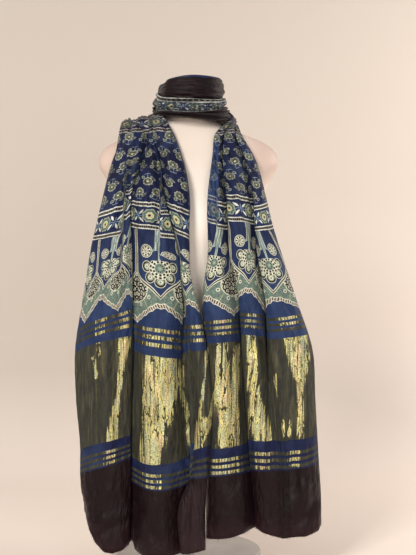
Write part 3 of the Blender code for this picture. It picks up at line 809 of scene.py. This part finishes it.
# ---------------------------------------------------------------- the print
NAVY, NAVY_LOW, NAVY_LIGHT = linear(20, 26, 66), linear(38, 56, 98), linear(66, 90, 132)
BLACK, SAGE = linear(25, 6, 12), linear(104, 128, 122)
CREAM, CREAM_GREEN = linear(238, 240, 218), linear(196, 200, 158)
WHITE, PALE_BLUE, TICK = linear(236, 240, 230), linear(140, 170, 200), linear(156, 146, 132)
GOLD, TISSUE = linear(240, 230, 142), linear(60, 61, 51)
ROSETTE_PITCH, BUTI_PITCH, BUTI_ROW = 0.049, 0.031, 0.028
TICK_PITCH, HATCH_PITCH, DASH_PITCH = 0.0044, 0.0046, 0.0052
BORDER_RISE = 0.047           # from the middle of one bar to the other's
GOLD_LINES, GOLD_LINE_HALF = (0.1505, 0.1645, 0.1785, 0.4485, 0.4625, 0.4765), 0.0036
PANELS = (0.4840, 0.6765)     # between these, the arches and what lies under them
BUTI_FIELD = (0.7355, 0.8725)
CENTRE_FIELD = 0.932          # from here on the cloth is black, with one border along it
LOTUS, PETAL_RING, PETAL, PETAL_TURN = 0.603, 0.0272, 0.0112, math.radians(48)
HAND_SHIFT = 0.0016           # how unevenly the blocks were set down by hand
# Motifs, in metres. The rosette's rings run from the outside in, and its lobes are a share of each ring's
# radius.
ROSETTE = ((CREAM_GREEN, 0.0136), (SAGE, 0.0125), (NAVY, 0.0090), (linear(206, 208, 164), 0.0076),
           (linear(150, 128, 84), 0.0047), (linear(230, 222, 178), 0.0041), (linear(44, 20, 16), 0.0028))
ROSETTE_LOBES, CROSS_AT, CROSS_REACH, CROSS_HALF = 0.072, 0.0115, 0.0074, 0.0021
ROUNDEL_X, ROUNDEL_Y = 0.0255, 0.0325
LEAF_EYES, LEAVES_TOP = ((0.0206, 0.5465), (0.0405, 0.5290)), 0.5400
BUSH_TOP, BUSH_WIDE, BUSH_DEEP, FRINGE = 0.563, 0.0300, 0.0310, (0.0016, 0.0102, 0.0122)
BLUE_STRIPE = (0.738, 0.800)  # along the black middle, from the outer selvedge


def bar(colour, distance, across, field, size):
    """A printed bar: two white lines with a ticked black band between."""
    reach, (tick, _) = abs(distance) * size, cell(across * (size * 1.5 - 0.5), TICK_PITCH)
    inner = below(reach, 0.0025)
    return painted(colour, (WHITE, below(reach, 0.0047)), (BLACK, inner),
                   (TICK, inner * below(abs(tick), 0.0005)), field=field)


def border_print(colour, across, along, field, bar_size):
    """Rosettes and crosses between two bars. along runs from 0 at the lower bar to BORDER_RISE at the upper
    one."""
    y = along - BORDER_RISE / 2
    x, _ = cell(across, ROSETTE_PITCH)
    r, lobes = radius(x, y), cosine(angle_of(x, y) * 8) * ROSETTE_LOBES
    rings = ((shade, below(r + lobes * limit, limit)) for shade, limit in ROSETTE)
    colour = painted(colour, *rings, field=field)
    x = abs(x) - ROSETTE_PITCH / 2
    u, w = (x + y) * 0.7071, (x - y) * 0.7071
    for a, b in ((u, w), (w, u)):
        away = (abs(a) - CROSS_AT) / CROSS_REACH
        colour = painted(colour, (WHITE, below(abs(b) - (1.0 - away * away) * CROSS_HALF, 0.0)), field=field)
    thin = greatest(below(abs(x), 0.0007) * below(abs(y), 0.0085),
                    below(abs(y), 0.0006) * below(abs(x), 0.0138))
    colour = painted(colour, (PALE_BLUE, thin), field=field)
    for middle in (0.0, BORDER_RISE):
        colour = bar(colour, along - middle, across, field, bar_size)
    return colour


def buti_print(colour, across, along, field):
    """Small flowers in staggered rows, every second row upside down, each with a bud, a leaf, a stem and a
    base."""
    y, row = cell(along, BUTI_ROW)
    odd = step("PINGPONG", row, 1.0)
    x, _ = cell(across + odd * (BUTI_PITCH / 2), BUTI_PITCH)
    y = y * (1.0 - odd * 2.0) - 0.0042
    field = field * ramp(cloud(across * 520, along * 520), 0.30, 0.40)
    fresh = ramp(cloud(across * 22, along * 22), 0.36, 0.60) * 0.45 + 0.55
    fleck = ramp(cloud(across * 600, along * 600), 0.55, 0.48)
    r, lobes = radius(x * 0.86, y), cosine(angle_of(x, y) * 9)
    colour = painted(colour, (linear(206, 212, 190), below(r + lobes * 0.0006, 0.0072)),
                     (linear(26, 32, 58), below(r + lobes * 0.0004, 0.0060)),
                     (linear(146, 152, 122), below(r + lobes * 0.0003, 0.0050)),
                     (linear(30, 34, 54), below(r, 0.0052) * fleck), (linear(30, 34, 52), below(r, 0.0027)),
                     (linear(222, 222, 176), below(r, 0.0016)), field=field * fresh)
    bud = radius(x + 0.0088, (y + 0.0082) * 1.1)
    leaf_x, leaf_y = x - 0.0088, y + 0.0066
    leaf = radius((leaf_x * 0.6 - leaf_y * 0.8) / 0.0019, (leaf_x * 0.8 + leaf_y * 0.6) / 0.0056)
    stem = below(abs(x), 0.0004) * between(y, -0.0140, -0.0062)
    dash = below(abs(y + 0.0148 - x * x * 40), 0.0005) * below(abs(x + 0.0010), 0.0056)
    return painted(colour, (linear(160, 168, 156), below(bud, 0.0033)),
                   (linear(40, 38, 52), below(bud, 0.0016)), (linear(146, 148, 134), below(leaf, 1.0, 0.2)),
                   (linear(46, 50, 64), below(leaf, 0.45, 0.2)), (linear(146, 162, 178), greatest(stem, dash)),
                   field=field)


def scalloped_edge(colour, across, along, field):
    """Sage spandrels under the arches, with a speckled bush on each, leaves, and a hatched fringe below."""
    side = abs(cell(across, PILLAR_PITCH)[0])
    share, post = side * (2 / PILLAR_PITCH), PILLAR_PITCH / 2 - side
    low = BANDS["scallop"] - ramp(share, 0.13, 1.0) * 0.0335 + abs(step("SINE", share * 12.57)) * 0.0022
    arch = BANDS["arch"] + (share + step("SINE", share * 6.283) * 0.065) * 0.0506
    above, over = along - low, along - arch
    area = ramp(above, -EDGE, EDGE) * below(over, 0.0) * below(along, 0.5965) * field
    mottle = ramp(cloud(across * 260, along * 200), 0.40, 0.66)
    specks = ramp(cloud(side * 460, along * 460), 0.60, 0.66)
    # two leaves on each side: the line between them and their eyes
    divide = post - 0.0215 - (LEAVES_TOP - along) * 0.45
    eyes = [radius(side - eye_x, (along - eye_y) * 0.85) for eye_x, eye_y in LEAF_EYES]
    rings = (ring for eye in eyes for ring in ((CREAM, below(eye, 0.0036)), (BLACK, below(eye, 0.0017))))
    colour = painted(colour, (SAGE, 1.0), (linear(148, 162, 142), mottle * 0.7),
                     (linear(40, 52, 62), specks * 0.8),
                     (CREAM_GREEN, below(abs(divide), 0.0007) * below(along, LEAVES_TOP)),
                     *rings, field=area)
    place = vector_of(side * 138, along * 122)
    spots = node(across.tree, "ShaderNodeTexVoronoi", {"Vector": place, "Scale": 1.0}, voronoi_dimensions="2D",
                 feature="DISTANCE_TO_EDGE")
    net = Number(spots.outputs["Distance"])
    reach = radius(post / BUSH_WIDE, greatest(BUSH_TOP - along, 0.0) / BUSH_DEEP)
    colour = painted(colour, (CREAM, 1.0), (BLACK, below(net, 0.20, 0.05) * below(reach, 0.93, 0.03)),
                     (SAGE, ramp(net, 0.33, 0.38)), (BLACK, ramp(net, 0.42, 0.46)),
                     field=below(reach, 1.0, 0.03) * area)
    # the hatched fringe
    hatch, _ = cell(across + (along - BANDS["scallop"]) * 0.35, HATCH_PITCH)
    hatched = between(above, *FRINGE[:2])
    colour = painted(colour, (CREAM, below(above, FRINGE[2])), (linear(214, 206, 190), hatched),
                     (linear(48, 36, 38), hatched * below(abs(hatch), 0.0011)), field=area)
    # the arch's outline
    near = abs(over) * 0.78
    return painted(colour, (CREAM, below(near, 0.0031)), (BLACK, below(near, 0.0012)),
                   field=below(along, 0.600) * field)


def arch_print(colour, across, along, field):
    """Pillars and arched panels, each with a lotus on a stalk between two roundels."""
    x, _ = cell(across, PILLAR_PITCH)
    side, y = abs(x), along - LOTUS
    post = PILLAR_PITCH / 2 - side
    colour = painted(colour, (CREAM, below(post, 0.0043)), (linear(96, 84, 80), below(post, 0.0026)),
                     (linear(176, 170, 150), below(post, 0.0012)), field=between(along, 0.592, 0.6755) * field)
    # the stalk: a broad striped upper part that opens into two leaves, and a narrow stem below
    leaf = below(abs((side - 0.0125) * 0.5 + (y - 0.0335) * 0.85), 0.0022) * between(side, 0.004, 0.0200)
    broad = below(side, 0.0094) * between(y, 0.034, 0.0735)
    stalk = greatest(greatest(broad, below(side, 0.0030) * between(y, 0.006, 0.040)), leaf)
    colour = painted(colour, (linear(122, 146, 154), stalk),
                     (linear(206, 214, 190), ramp(cloud(x * 420, along * 26), 0.45, 0.54) * stalk),
                     (linear(80, 104, 134), below(abs(side - 0.0036), 0.0006) * broad), field=field)
    # the two roundels
    round_x, round_y = side - ROUNDEL_X, y - ROUNDEL_Y
    r, spokes = radius(round_x, round_y), cosine(angle_of(round_x, round_y) * 8)
    colour = painted(colour, (CREAM, below(r, 0.0128)), (NAVY, below(r, 0.0114)), (CREAM, below(r, 0.0100)),
                     (BLACK, between(r, 0.0056, 0.0092) * ramp(spokes, -0.3, 0.1)),
                     (BLACK, between(r, 0.0022, 0.0044) * ramp(spokes, 0.2, -0.2)), (SAGE, below(r, 0.0014)),
                     field=field)
    # the lotus: five petals round a fan
    x, y = x * 1.13, y * 1.02
    r, turn = radius(x, y), abs(angle_of(x, y * -1.0))
    off = least(least(turn, abs(turn - PETAL_TURN)), abs(turn - 2 * PETAL_TURN))
    away = r * r + PETAL_RING ** 2 - r * (2 * PETAL_RING) * cosine(off)
    petal = step("SQRT", greatest(away, 0.0))
    outer = ramp(r - PETAL_RING, -0.001, 0.003)
    colour = painted(colour, (CREAM, below(petal, PETAL)), (BLACK, between(petal, 0.0072, 0.0096)),
                     (BLACK, between(petal, 0.0062, 0.0100) * outer),
                     (linear(150, 168, 146), below(petal, 0.0064)), (CREAM, below(petal, 0.0044)),
                     (linear(120, 140, 122), below(petal, 0.0018)), field=field)
    beads, dashes = cosine(turn * 14), cosine(turn * 11)
    return painted(colour, (CREAM, below(r, 0.0218)),
                   (BLACK, between(r, 0.0168, 0.0205) * ramp(beads, -0.45, -0.1)),
                   (CREAM, below(r, 0.0160)), (BLACK, between(r, 0.0110, 0.0152) * ramp(dashes, -0.35, -0.05)),
                   (linear(136, 158, 146), below(r, 0.0104)),
                   (BLACK, between(r, 0.0050, 0.0082) * ramp(dashes, -0.1, 0.2)),
                   (linear(176, 188, 160), below(r, 0.0026)), field=below(y, 0.0150) * field)


def print_group():
    """The block print, from a place on the flat cloth: its colour, and where it is woven with gold."""
    tree, given, wanted = new_group("block print", {"Across": 0.0, "Thread": 0.0},
                                    {"Dye": "Color", "Tissue": "Float", "Zari line": "Float",
                                     "Black": "Float"})
    across, thread = Number(given["Across"]), Number(given["Thread"])
    hand = [part - 0.5 for part in parts_of(noise(vector_of(across, thread), 55, 1.0)["Color"], "Color")]
    across = across + hand[0] * HAND_SHIFT
    along = least(thread, FLAT[1] - thread) + hand[1] * HAND_SHIFT

    centre, black_end = ramp(along, CENTRE_FIELD - EDGE, CENTRE_FIELD + EDGE), below(along, BANDS["black_end"])
    tissue = between(along, BANDS["tissue_low"], BANDS["tissue_top"])
    colour = painted(NAVY_LOW, (NAVY, greatest(ramp(along, 0.56, 0.75), ramp(along, 0.47, 0.22) * 0.9)),
                     (NAVY_LIGHT, ramp(cloud(across, thread, scale=9, detail=3.0), 0.45, 0.75) * 0.4))
    patterned = ramp(along, PANELS[0], PANELS[0] + 0.0001) * step("LESS_THAN", along, PANELS[1])
    colour = scalloped_edge(colour, across, along, patterned)
    colour = arch_print(colour, across, along, patterned)
    colour = buti_print(colour, across, along - BUTI_FIELD[0], between(along, *BUTI_FIELD))
    stripe = between(across + hand[2] * 0.03, *BLUE_STRIPE, 0.003)
    colour = painted(colour, (BLACK, 1.0), (linear(38, 50, 92), stripe), field=centre)
    # one border serves near the panels, at the shoulder and lengthwise on the neck
    upper = ramp(along, 0.800, 0.801)
    from_bar = along - BANDS["border_low"] - upper * (BANDS["shoulder"] - BANDS["border_low"])
    run = across + (thread - across) * centre
    rise = from_bar + (across - (STRIP_AT - BORDER_RISE / 2) - from_bar) * centre
    in_border = between(rise, -0.0055, 0.0525 + centre * 0.003)
    colour = painted(colour, (NAVY, in_border * centre))
    colour = border_print(colour, run, rise, in_border, 1.0 - centre * 0.42)
    broken = ramp(cloud(across * 130, thread * 130, detail=3.0, rough=0.6), 0.56, 0.47)
    broken = broken * between(rise, 0.0092, 0.0385)
    colour = painted(colour, (linear(40, 24, 46), in_border * upper * (1.0 - centre) * 0.5),
                     (linear(24, 30, 56), broken * centre * 0.9),
                     (linear(60, 70, 84), in_border * centre * 0.30))

    zari = 0.0
    for line in GOLD_LINES:
        zari = greatest(zari, below(abs(along - line), GOLD_LINE_HALF))
    dark = painted(BLACK, (linear(52, 24, 32), ramp(along, 0.05, 0.0) * 0.5))
    colour = painted(colour, (TISSUE, greatest(zari, tissue)), (dark, black_end))
    black = greatest(black_end, centre) * (1.0 - in_border)
    for name, value in (("Dye", colour), ("Tissue", tissue), ("Zari line", zari), ("Black", black)):
        link(value, wanted[name])
    return tree


def weave_group():
    """A plain weave with slubs, as a height from -1 to 1 and a shade, from a place in metres."""
    tree, given, wanted = new_group("weave", {"Place": (0.0, 0.0, 0.0), "Thread pitch": 0.0008},
                                    {"Height": "Float", "Shade": "Float"})
    x, y, _ = parts_of(given["Place"])
    warp, weft = (step("SINE", value / Number(given["Thread pitch"]) * 3.1416) for value in (x, y))
    uneven = (cloud(x * 30, y * 900) + cloud(x * 900, y * 30)) * 0.5
    link(warp * weft * 0.5 + (uneven - 0.5) * 1.6, wanted["Height"])
    link(uneven, wanted["Shade"])
    return tree


def wear_group():
    """Soft cloudy variation and fine specks, for the hard pieces."""
    tree, given, wanted = new_group("handling", {"Size": 8.0}, {"Cloud": "Float", "Speck": "Float"})
    where, size = object_place(tree), Number(given["Size"])
    link(ramp(Number(noise(where, size, 4.0)["Fac"]), 0.3, 0.7), wanted["Cloud"])
    link(ramp(Number(noise(where, size * 60)["Fac"]), 0.35, 0.65), wanted["Speck"])
    return tree


# ---------------------------------------------------------------- materials
def finish_with(shader, **sockets):
    for label, value in sockets.items():
        link(value, shader.inputs[label.replace("_", " ")])


def new_material(name, **sockets):
    made = bpy.data.materials.new(name)
    made.use_nodes = True
    shader = made.node_tree.nodes["Principled BSDF"]
    finish_with(shader, **sockets)
    return made, made.node_tree, shader


def ajrakh_material(name, reverse):
    """The printed cloth. Its reverse shows the same dye through, paler and bluer."""
    made, tree, shader = new_material(name, Sheen_Weight=0.04, Sheen_Roughness=0.4, Specular_IOR_Level=0.22)
    where = node(tree, "ShaderNodeUVMap", uv_map="thread").outputs[0]
    across, thread, _ = parts_of(where)
    dyed, weave = placed(tree, PRINT, Across=across, Thread=thread), placed(tree, WEAVE, Place=where)
    shade, tissue, line, black = weave["Shade"], dyed["Tissue"], dyed["Zari line"], dyed["Black"]
    pale, painted_glint = (Number(node(tree, "ShaderNodeAttribute", attribute_name=label).outputs["Fac"])
                   for label in ("pale", "painted_glint"))
    woven = greatest(tissue, line)
    pale_tint = painted(linear(50, 76, 120), (linear(104, 84, 88), black))
    colour = painted(dyed["Dye"], (pale_tint, pale * 0.62))
    if reverse:
        colour = painted(colour, (linear(38, 56, 94), (1.0 - greatest(woven, black)) * 0.78))
    crinkle = cloud(across * 30, thread * 13, detail=3.0, rough=0.55)
    high = ramp(least(thread, FLAT[1] - thread), 0.60, 0.80)
    # painted shade: near-black lines where the crinkle's height passes its middle, stronger on the upper cloth
    crease = ramp(abs(crinkle - 0.47), 0.040, 0.006) * (high * 0.42 + 0.14)
    colour = painted(colour, ((0.0, 0.0, 0.0), ramp(shade, 0.60, 0.38) * 0.34),
                     ((0.002, 0.002, 0.004), crease))

    # the gold: a painted highlight, laid along the painted glint streaks, with fine streaks, bright specks and
    # dark veins painted in; Metallic follows the same mask, so it is partly real metal
    streak = cloud(across * 120, thread * 9, detail=3.0, rough=0.6)
    fine = cloud(across * 300, thread * 11, 7.0)
    grain = cloud(across * 520, thread * 330, rough=0.6)
    vein = abs(cloud(across * 78, thread * 13, detail=3.0) - 0.5)
    warm, green, tangle = parts_of(noise(vector_of(across * 62, thread * 11, 3.0))["Color"], "Color")
    edge = ramp(painted_glint, 0.85, 0.40)
    lit = painted_glint * 0.68 + (streak - 0.5) * 1.4 + (fine - 0.5) * (edge * 1.4 + 0.7)
    lit = lit + (grain - 0.5) * 0.40 - ramp(vein, 0.026, 0.006) * 0.47
    dashes, _ = cell(across, DASH_PITCH)
    dashed = 1.0 - line * ramp(abs(dashes), 0.0016, 0.0022) * 0.75
    painted_flash = ramp(lit, 0.28, 0.56) * ramp(painted_glint, 0.04, 0.25) * dashed
    dim = (ramp(streak, 0.50, 0.72) + ramp(tangle, 0.56, 0.70)) * 0.07
    gold = greatest(painted_flash, dim) * woven
    # painted highlight colour: pale gold, yellower at the glint's edges, with darker and brighter painted
    # specks
    metal = painted(linear(198, 202, 156), (linear(228, 200, 156), ramp(warm, 0.48, 0.57)),
                    (linear(164, 182, 166), ramp(green, 0.54, 0.64) * 0.75),
                    (GOLD, greatest(edge, ramp(vein, 0.070, 0.034) * 0.85)),
                    (linear(96, 90, 62), ramp(fine, 0.49, 0.40) * 0.6),
                    (linear(92, 84, 66), ramp(grain, 0.47, 0.36) * 0.75),
                    (linear(250, 242, 204), ramp(grain, 0.56, 0.66) * 0.65))
    colour = painted(colour, (linear(40, 40, 44), ramp(tangle, 0.42, 0.52) * tissue * 0.5), (metal, gold))
    threads = weave["Height"] * 0.20 + (streak + grain) * woven * 1.2
    finish_with(shader, Base_Color=colour, Metallic=gold * 0.45,
                Roughness=0.64 - gold * 0.22 - black * 0.18 + (shade - 0.5) * 0.2,
                Normal=bumped(threads, 0.0006, 0.6, bumped(crinkle, 0.016, 0.8)))
    return made


def form_material():
    """The form's smooth off-white cover, with painted shade towards the neck and shoulders."""
    made, tree, shader = new_material("form_cover", Specular_IOR_Level=0.4)
    marks, where = placed(tree, WEAR, Size=7.0), object_place(tree)
    x, _, z = parts_of(where)
    # painted shade: the cover is painted darker and pinker towards the top, and more at the shoulders
    high = ramp(z, 0.76, 0.88)
    colour = painted(linear(254, 248, 238), (linear(250, 238, 228), marks["Cloud"] * 0.7),
                     (linear(226, 210, 198), high * 0.75),
                     (linear(210, 182, 170), high * ramp(abs(x), 0.08, 0.16) * 0.8),
                     (linear(236, 214, 200), marks["Speck"] * 0.10))
    height = marks["Speck"] * 0.5 + placed(tree, WEAVE, Place=where)["Height"] * 0.15
    finish_with(shader, Base_Color=colour, Roughness=marks["Speck"] * 0.08 + 0.44,
                Normal=bumped(height, 0.0004, 0.35))
    return made


def steel_material(name, shade, roughness):
    """Brushed and slightly handled metal."""
    made, tree, shader = new_material(name, Roughness=roughness, Metallic=1.0)
    marks = placed(tree, WEAR, Size=14.0)
    x, y, z = parts_of(object_place(tree))
    brushed = cloud(radius(x, y) * 700, z * 700)
    finish_with(shader, Base_Color=painted(shade, (tuple(0.8 * c for c in shade), marks["Cloud"] * 0.6)),
                Roughness=brushed * 0.16 + marks["Cloud"] * 0.08 + roughness,
                Normal=bumped(brushed, 0.0002, 0.3))
    return made


def thread_material():
    made, tree, shader = new_material("hem_thread", Roughness=0.7, Sheen_Weight=0.2)
    marks = placed(tree, WEAR, Size=30.0)
    finish_with(shader, Base_Color=painted(BLACK, (linear(84, 58, 60), marks["Cloud"])))
    return made


# ---------------------------------------------------------------- the form
def make_form(name, around=120, layers=150):
    """The torso and neck as one closed loft."""
    build, rings = bmesh.new(), []
    heights = np.linspace(FORM[0, 0], FORM[-1, 0], layers)
    for z, (half, front, back, square) in zip(heights, spline(FORM[:, 0], FORM[:, 1:], heights)):
        ring = []
        for angle in (2 * math.pi * i / around for i in range(around)):
            c, s = math.cos(angle), math.sin(angle)
            x = half * math.copysign(abs(c) ** (2 / square), c)
            y = (back if s > 0 else front) * math.copysign(abs(s) ** (2 / square), s)
            if s < 0:
                y -= bust(x, z) * min(1.0, -1.6 * s)
            ring.append(build.verts.new((x, y, z)))
        rings.append(ring)
    for low, high in zip(rings, rings[1:]):
        for i in range(around):
            j = (i + 1) % around
            build.faces.new((low[i], low[j], high[j], high[i]))
    build.faces.new(rings[0][::-1])
    build.faces.new(rings[-1])
    caps = [e for e in build.edges if any(len(f.verts) > 4 for f in e.link_faces)]
    bmesh.ops.bevel(build, geom=caps, offset=0.004, segments=3, affect="EDGES", profile=0.6)
    bmesh.ops.recalc_face_normals(build, faces=build.faces)
    for face in build.faces:
        face.smooth = True
    mesh = bpy.data.meshes.new(name)
    build.to_mesh(mesh)
    build.free()
    mesh.materials.append(form_material())
    return added(name, mesh)


# ---------------------------------------------------------------- the frayed hems
def fray_tree(material):
    """Short loose threads along a line, with named inputs for their spacing, length, thickness and seed."""
    tree = bpy.data.node_groups.new("frayed hem", "GeometryNodeTree")
    tree.interface.new_socket("Geometry", in_out="INPUT", socket_type="NodeSocketGeometry")
    sizes = {}
    for label, kind, value in (("Spacing", "Float", 0.0035), ("Length", "Float", 0.0045),
                               ("Thickness", "Float", 0.0004), ("Seed", "Int", 7)):
        made = tree.interface.new_socket(label, in_out="INPUT", socket_type="NodeSocket" + kind)
        made.default_value, sizes[label] = value, made.identifier
    tree.interface.new_socket("Geometry", in_out="OUTPUT", socket_type="NodeSocketGeometry")
    given = tree.nodes.new("NodeGroupInput").outputs
    curve = node(tree, "GeometryNodeMeshToCurve", {0: given["Geometry"]}).outputs[0]
    points = node(tree, "GeometryNodeResampleCurve", {"Curve": curve, "Length": given["Spacing"]},
                  mode="LENGTH").outputs[0]
    thread = node(tree, "GeometryNodeMeshCone",
                  {"Vertices": 3, "Side Segments": 2, "Radius Top": 0.00012, "Depth": given["Length"],
                   "Radius Bottom": given["Thickness"]}).outputs["Mesh"]
    lean = node(tree, "FunctionNodeRandomValue",
                {0: (math.pi - 0.5, -0.5, 0.0), 1: (math.pi + 0.5, 0.5, 6.28), "Seed": given["Seed"]},
                data_type="FLOAT_VECTOR")
    size = node(tree, "FunctionNodeRandomValue", {2: 0.35, 3: 1.15, "Seed": given["Seed"]}, data_type="FLOAT")
    place = node(tree, "GeometryNodeInstanceOnPoints",
                 {"Points": points, "Instance": thread, "Rotation": lean.outputs[0], "Scale": size.outputs[1]})
    real = node(tree, "GeometryNodeRealizeInstances", {0: place.outputs[0]})
    ready = node(tree, "GeometryNodeSetMaterial", {"Geometry": real.outputs[0], "Material": material})
    node(tree, "NodeGroupOutput", {0: ready.outputs[0]})
    return tree, sizes


def make_fray(rows):
    """Loose threads along both hems."""
    count, mesh = rows.shape[1], bpy.data.meshes.new("hem_lines")
    edges = [(start + i, start + i + 1) for start in (0, count) for i in range(count - 1)]
    mesh.from_pydata([tuple(p) for row in (rows[0], rows[-1]) for p in row], edges, [])
    raw = added("hem_lines", mesh)
    tree, sizes = fray_tree(thread_material())
    fray = raw.modifiers.new("fray", "NODES")
    fray.node_group = tree
    fray[sizes["Spacing"]], fray[sizes["Length"]], fray[sizes["Seed"]] = 0.0030, 0.0046, 11
    return settled(raw, "hem_fray")


# ---------------------------------------------------------------- camera, light and floor
LAMPS = (
    ("key", (-1.3, -2.6, 2.2), (0, 0, 0.6), (0.9, 1.2), 74, (1.0, 0.96, 0.90)),
    ("fill", (0.9, -2.9, 1.0), (0, 0, 0.6), (1.0, 1.2), 19, (1.0, 0.95, 0.92)),
    ("wall_left", (-1.9, 0.45, 1.4), (-0.6, 0.9, 0.1), (1.2, 1.2), 4.0, (1.0, 0.97, 0.95)),
    ("wall_right", (1.9, 0.45, 1.4), (0.7, 0.9, 0.1), (1.2, 1.2), 25, (1.0, 0.95, 0.91)),
)
TURN, BACK, WIDE, HIGH, FRONT = 0.5, 1.25, 9.0, 6.0, -7.0     # the studio: its bend's radius and its walls


def make_camera():
    scene = bpy.context.scene
    scene.camera = added("camera", bpy.data.cameras.new("camera"))
    scene.camera.location, scene.camera.rotation_euler = (0.043, -2.32, 0.613), (math.radians(90), 0, 0)
    scene.camera.data.sensor_width, scene.camera.data.lens = 36, 67.6
    scene.view_settings.view_transform = "Standard"


def make_light(name, place, target, size, watts, colour):
    light = bpy.data.lights.new(name, "AREA")
    light.shape, light.size, light.size_y = "RECTANGLE", *size
    light.energy, light.color = watts, colour
    lamp = added(name, light)
    lamp.location = place
    lamp.rotation_euler = (Vector(target) - Vector(place)).to_track_quat("-Z", "Y").to_euler()


def paper_material():
    """Pale paper with painted light, clear from behind, so that it doesn't hide the cloth's back."""
    paper, tree, shader = new_material("studio_paper", Roughness=0.9, Specular_IOR_Level=0.1)
    x, _, z = parts_of(object_place(tree))
    # painted light: the floor, and the lower right of the wall, are painted paler
    low = greatest(ramp(z, 0.30, 0.02), ramp(z, 0.90, 0.40) * ramp(x, 0.20, 0.90) * 0.7)
    finish_with(shader, Base_Color=painted((0.69, 0.62, 0.56), ((0.88, 0.785, 0.715), low)))
    behind, clear = node(tree, "ShaderNodeNewGeometry"), node(tree, "ShaderNodeBsdfTransparent")
    sides = node(tree, "ShaderNodeMixShader",
                 {0: behind.outputs["Backfacing"], 1: shader.outputs[0], 2: clear.outputs[0]})
    link(sides.outputs[0], tree.nodes["Material Output"].inputs["Surface"])
    return paper


def make_surroundings():
    """A pale floor that curves up into a wall, soft lamps and an even sky."""
    bend = [(BACK - TURN + TURN * math.sin(a), TURN - TURN * math.cos(a))
            for a in np.linspace(0, math.pi / 2, 13)[1:]]
    profile = [(FRONT, 0.0), (BACK - TURN, 0.0), *bend, (BACK, HIGH)]
    n, mesh = len(profile), bpy.data.meshes.new("studio")
    mesh.from_pydata([(x, y, z) for x in (-WIDE / 2, WIDE / 2) for y, z in profile], [],
                     [(i, n + i, n + i + 1, i + 1) for i in range(n - 1)], shade_flat=False)
    mesh.materials.append(paper_material())
    added("studio", mesh)
    world = bpy.data.worlds.new("sky")
    world.use_nodes = True
    sky = world.node_tree.nodes["Background"]
    sky.inputs["Color"].default_value = (1.0, 0.96, 0.91, 1)
    sky.inputs["Strength"].default_value = 0.25
    bpy.context.scene.world = world
    for lamp in LAMPS:
        make_light(*lamp)


# ---------------------------------------------------------------- everything together
make_camera()
make_surroundings()
PRINT, WEAVE, WEAR = print_group(), weave_group(), wear_group()

plain = uneven_hems(finer(cloth_rows()))
draped = gathers(plain)
cloth = make_sheet("ajrakh_dupatta", draped, *cloth_places(plain), glint_painting(plain), paler(plain))
fray = make_fray(draped)
form = make_form("dress_form_cover")

for steel_piece, shade, roughness in (("pole", (0.62, 0.62, 0.62), 0.22), ("base", (0.52, 0.52, 0.53), 0.32)):
    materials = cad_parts[steel_piece].data.materials
    materials.clear()
    materials.append(steel_material(steel_piece + "_steel", shade, roughness))

for piece, slot in ((cloth, "cloth"), (fray, "cloth"), (form, "form")):
    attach(piece, "root")
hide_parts("dupatta")
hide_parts("dress_form")
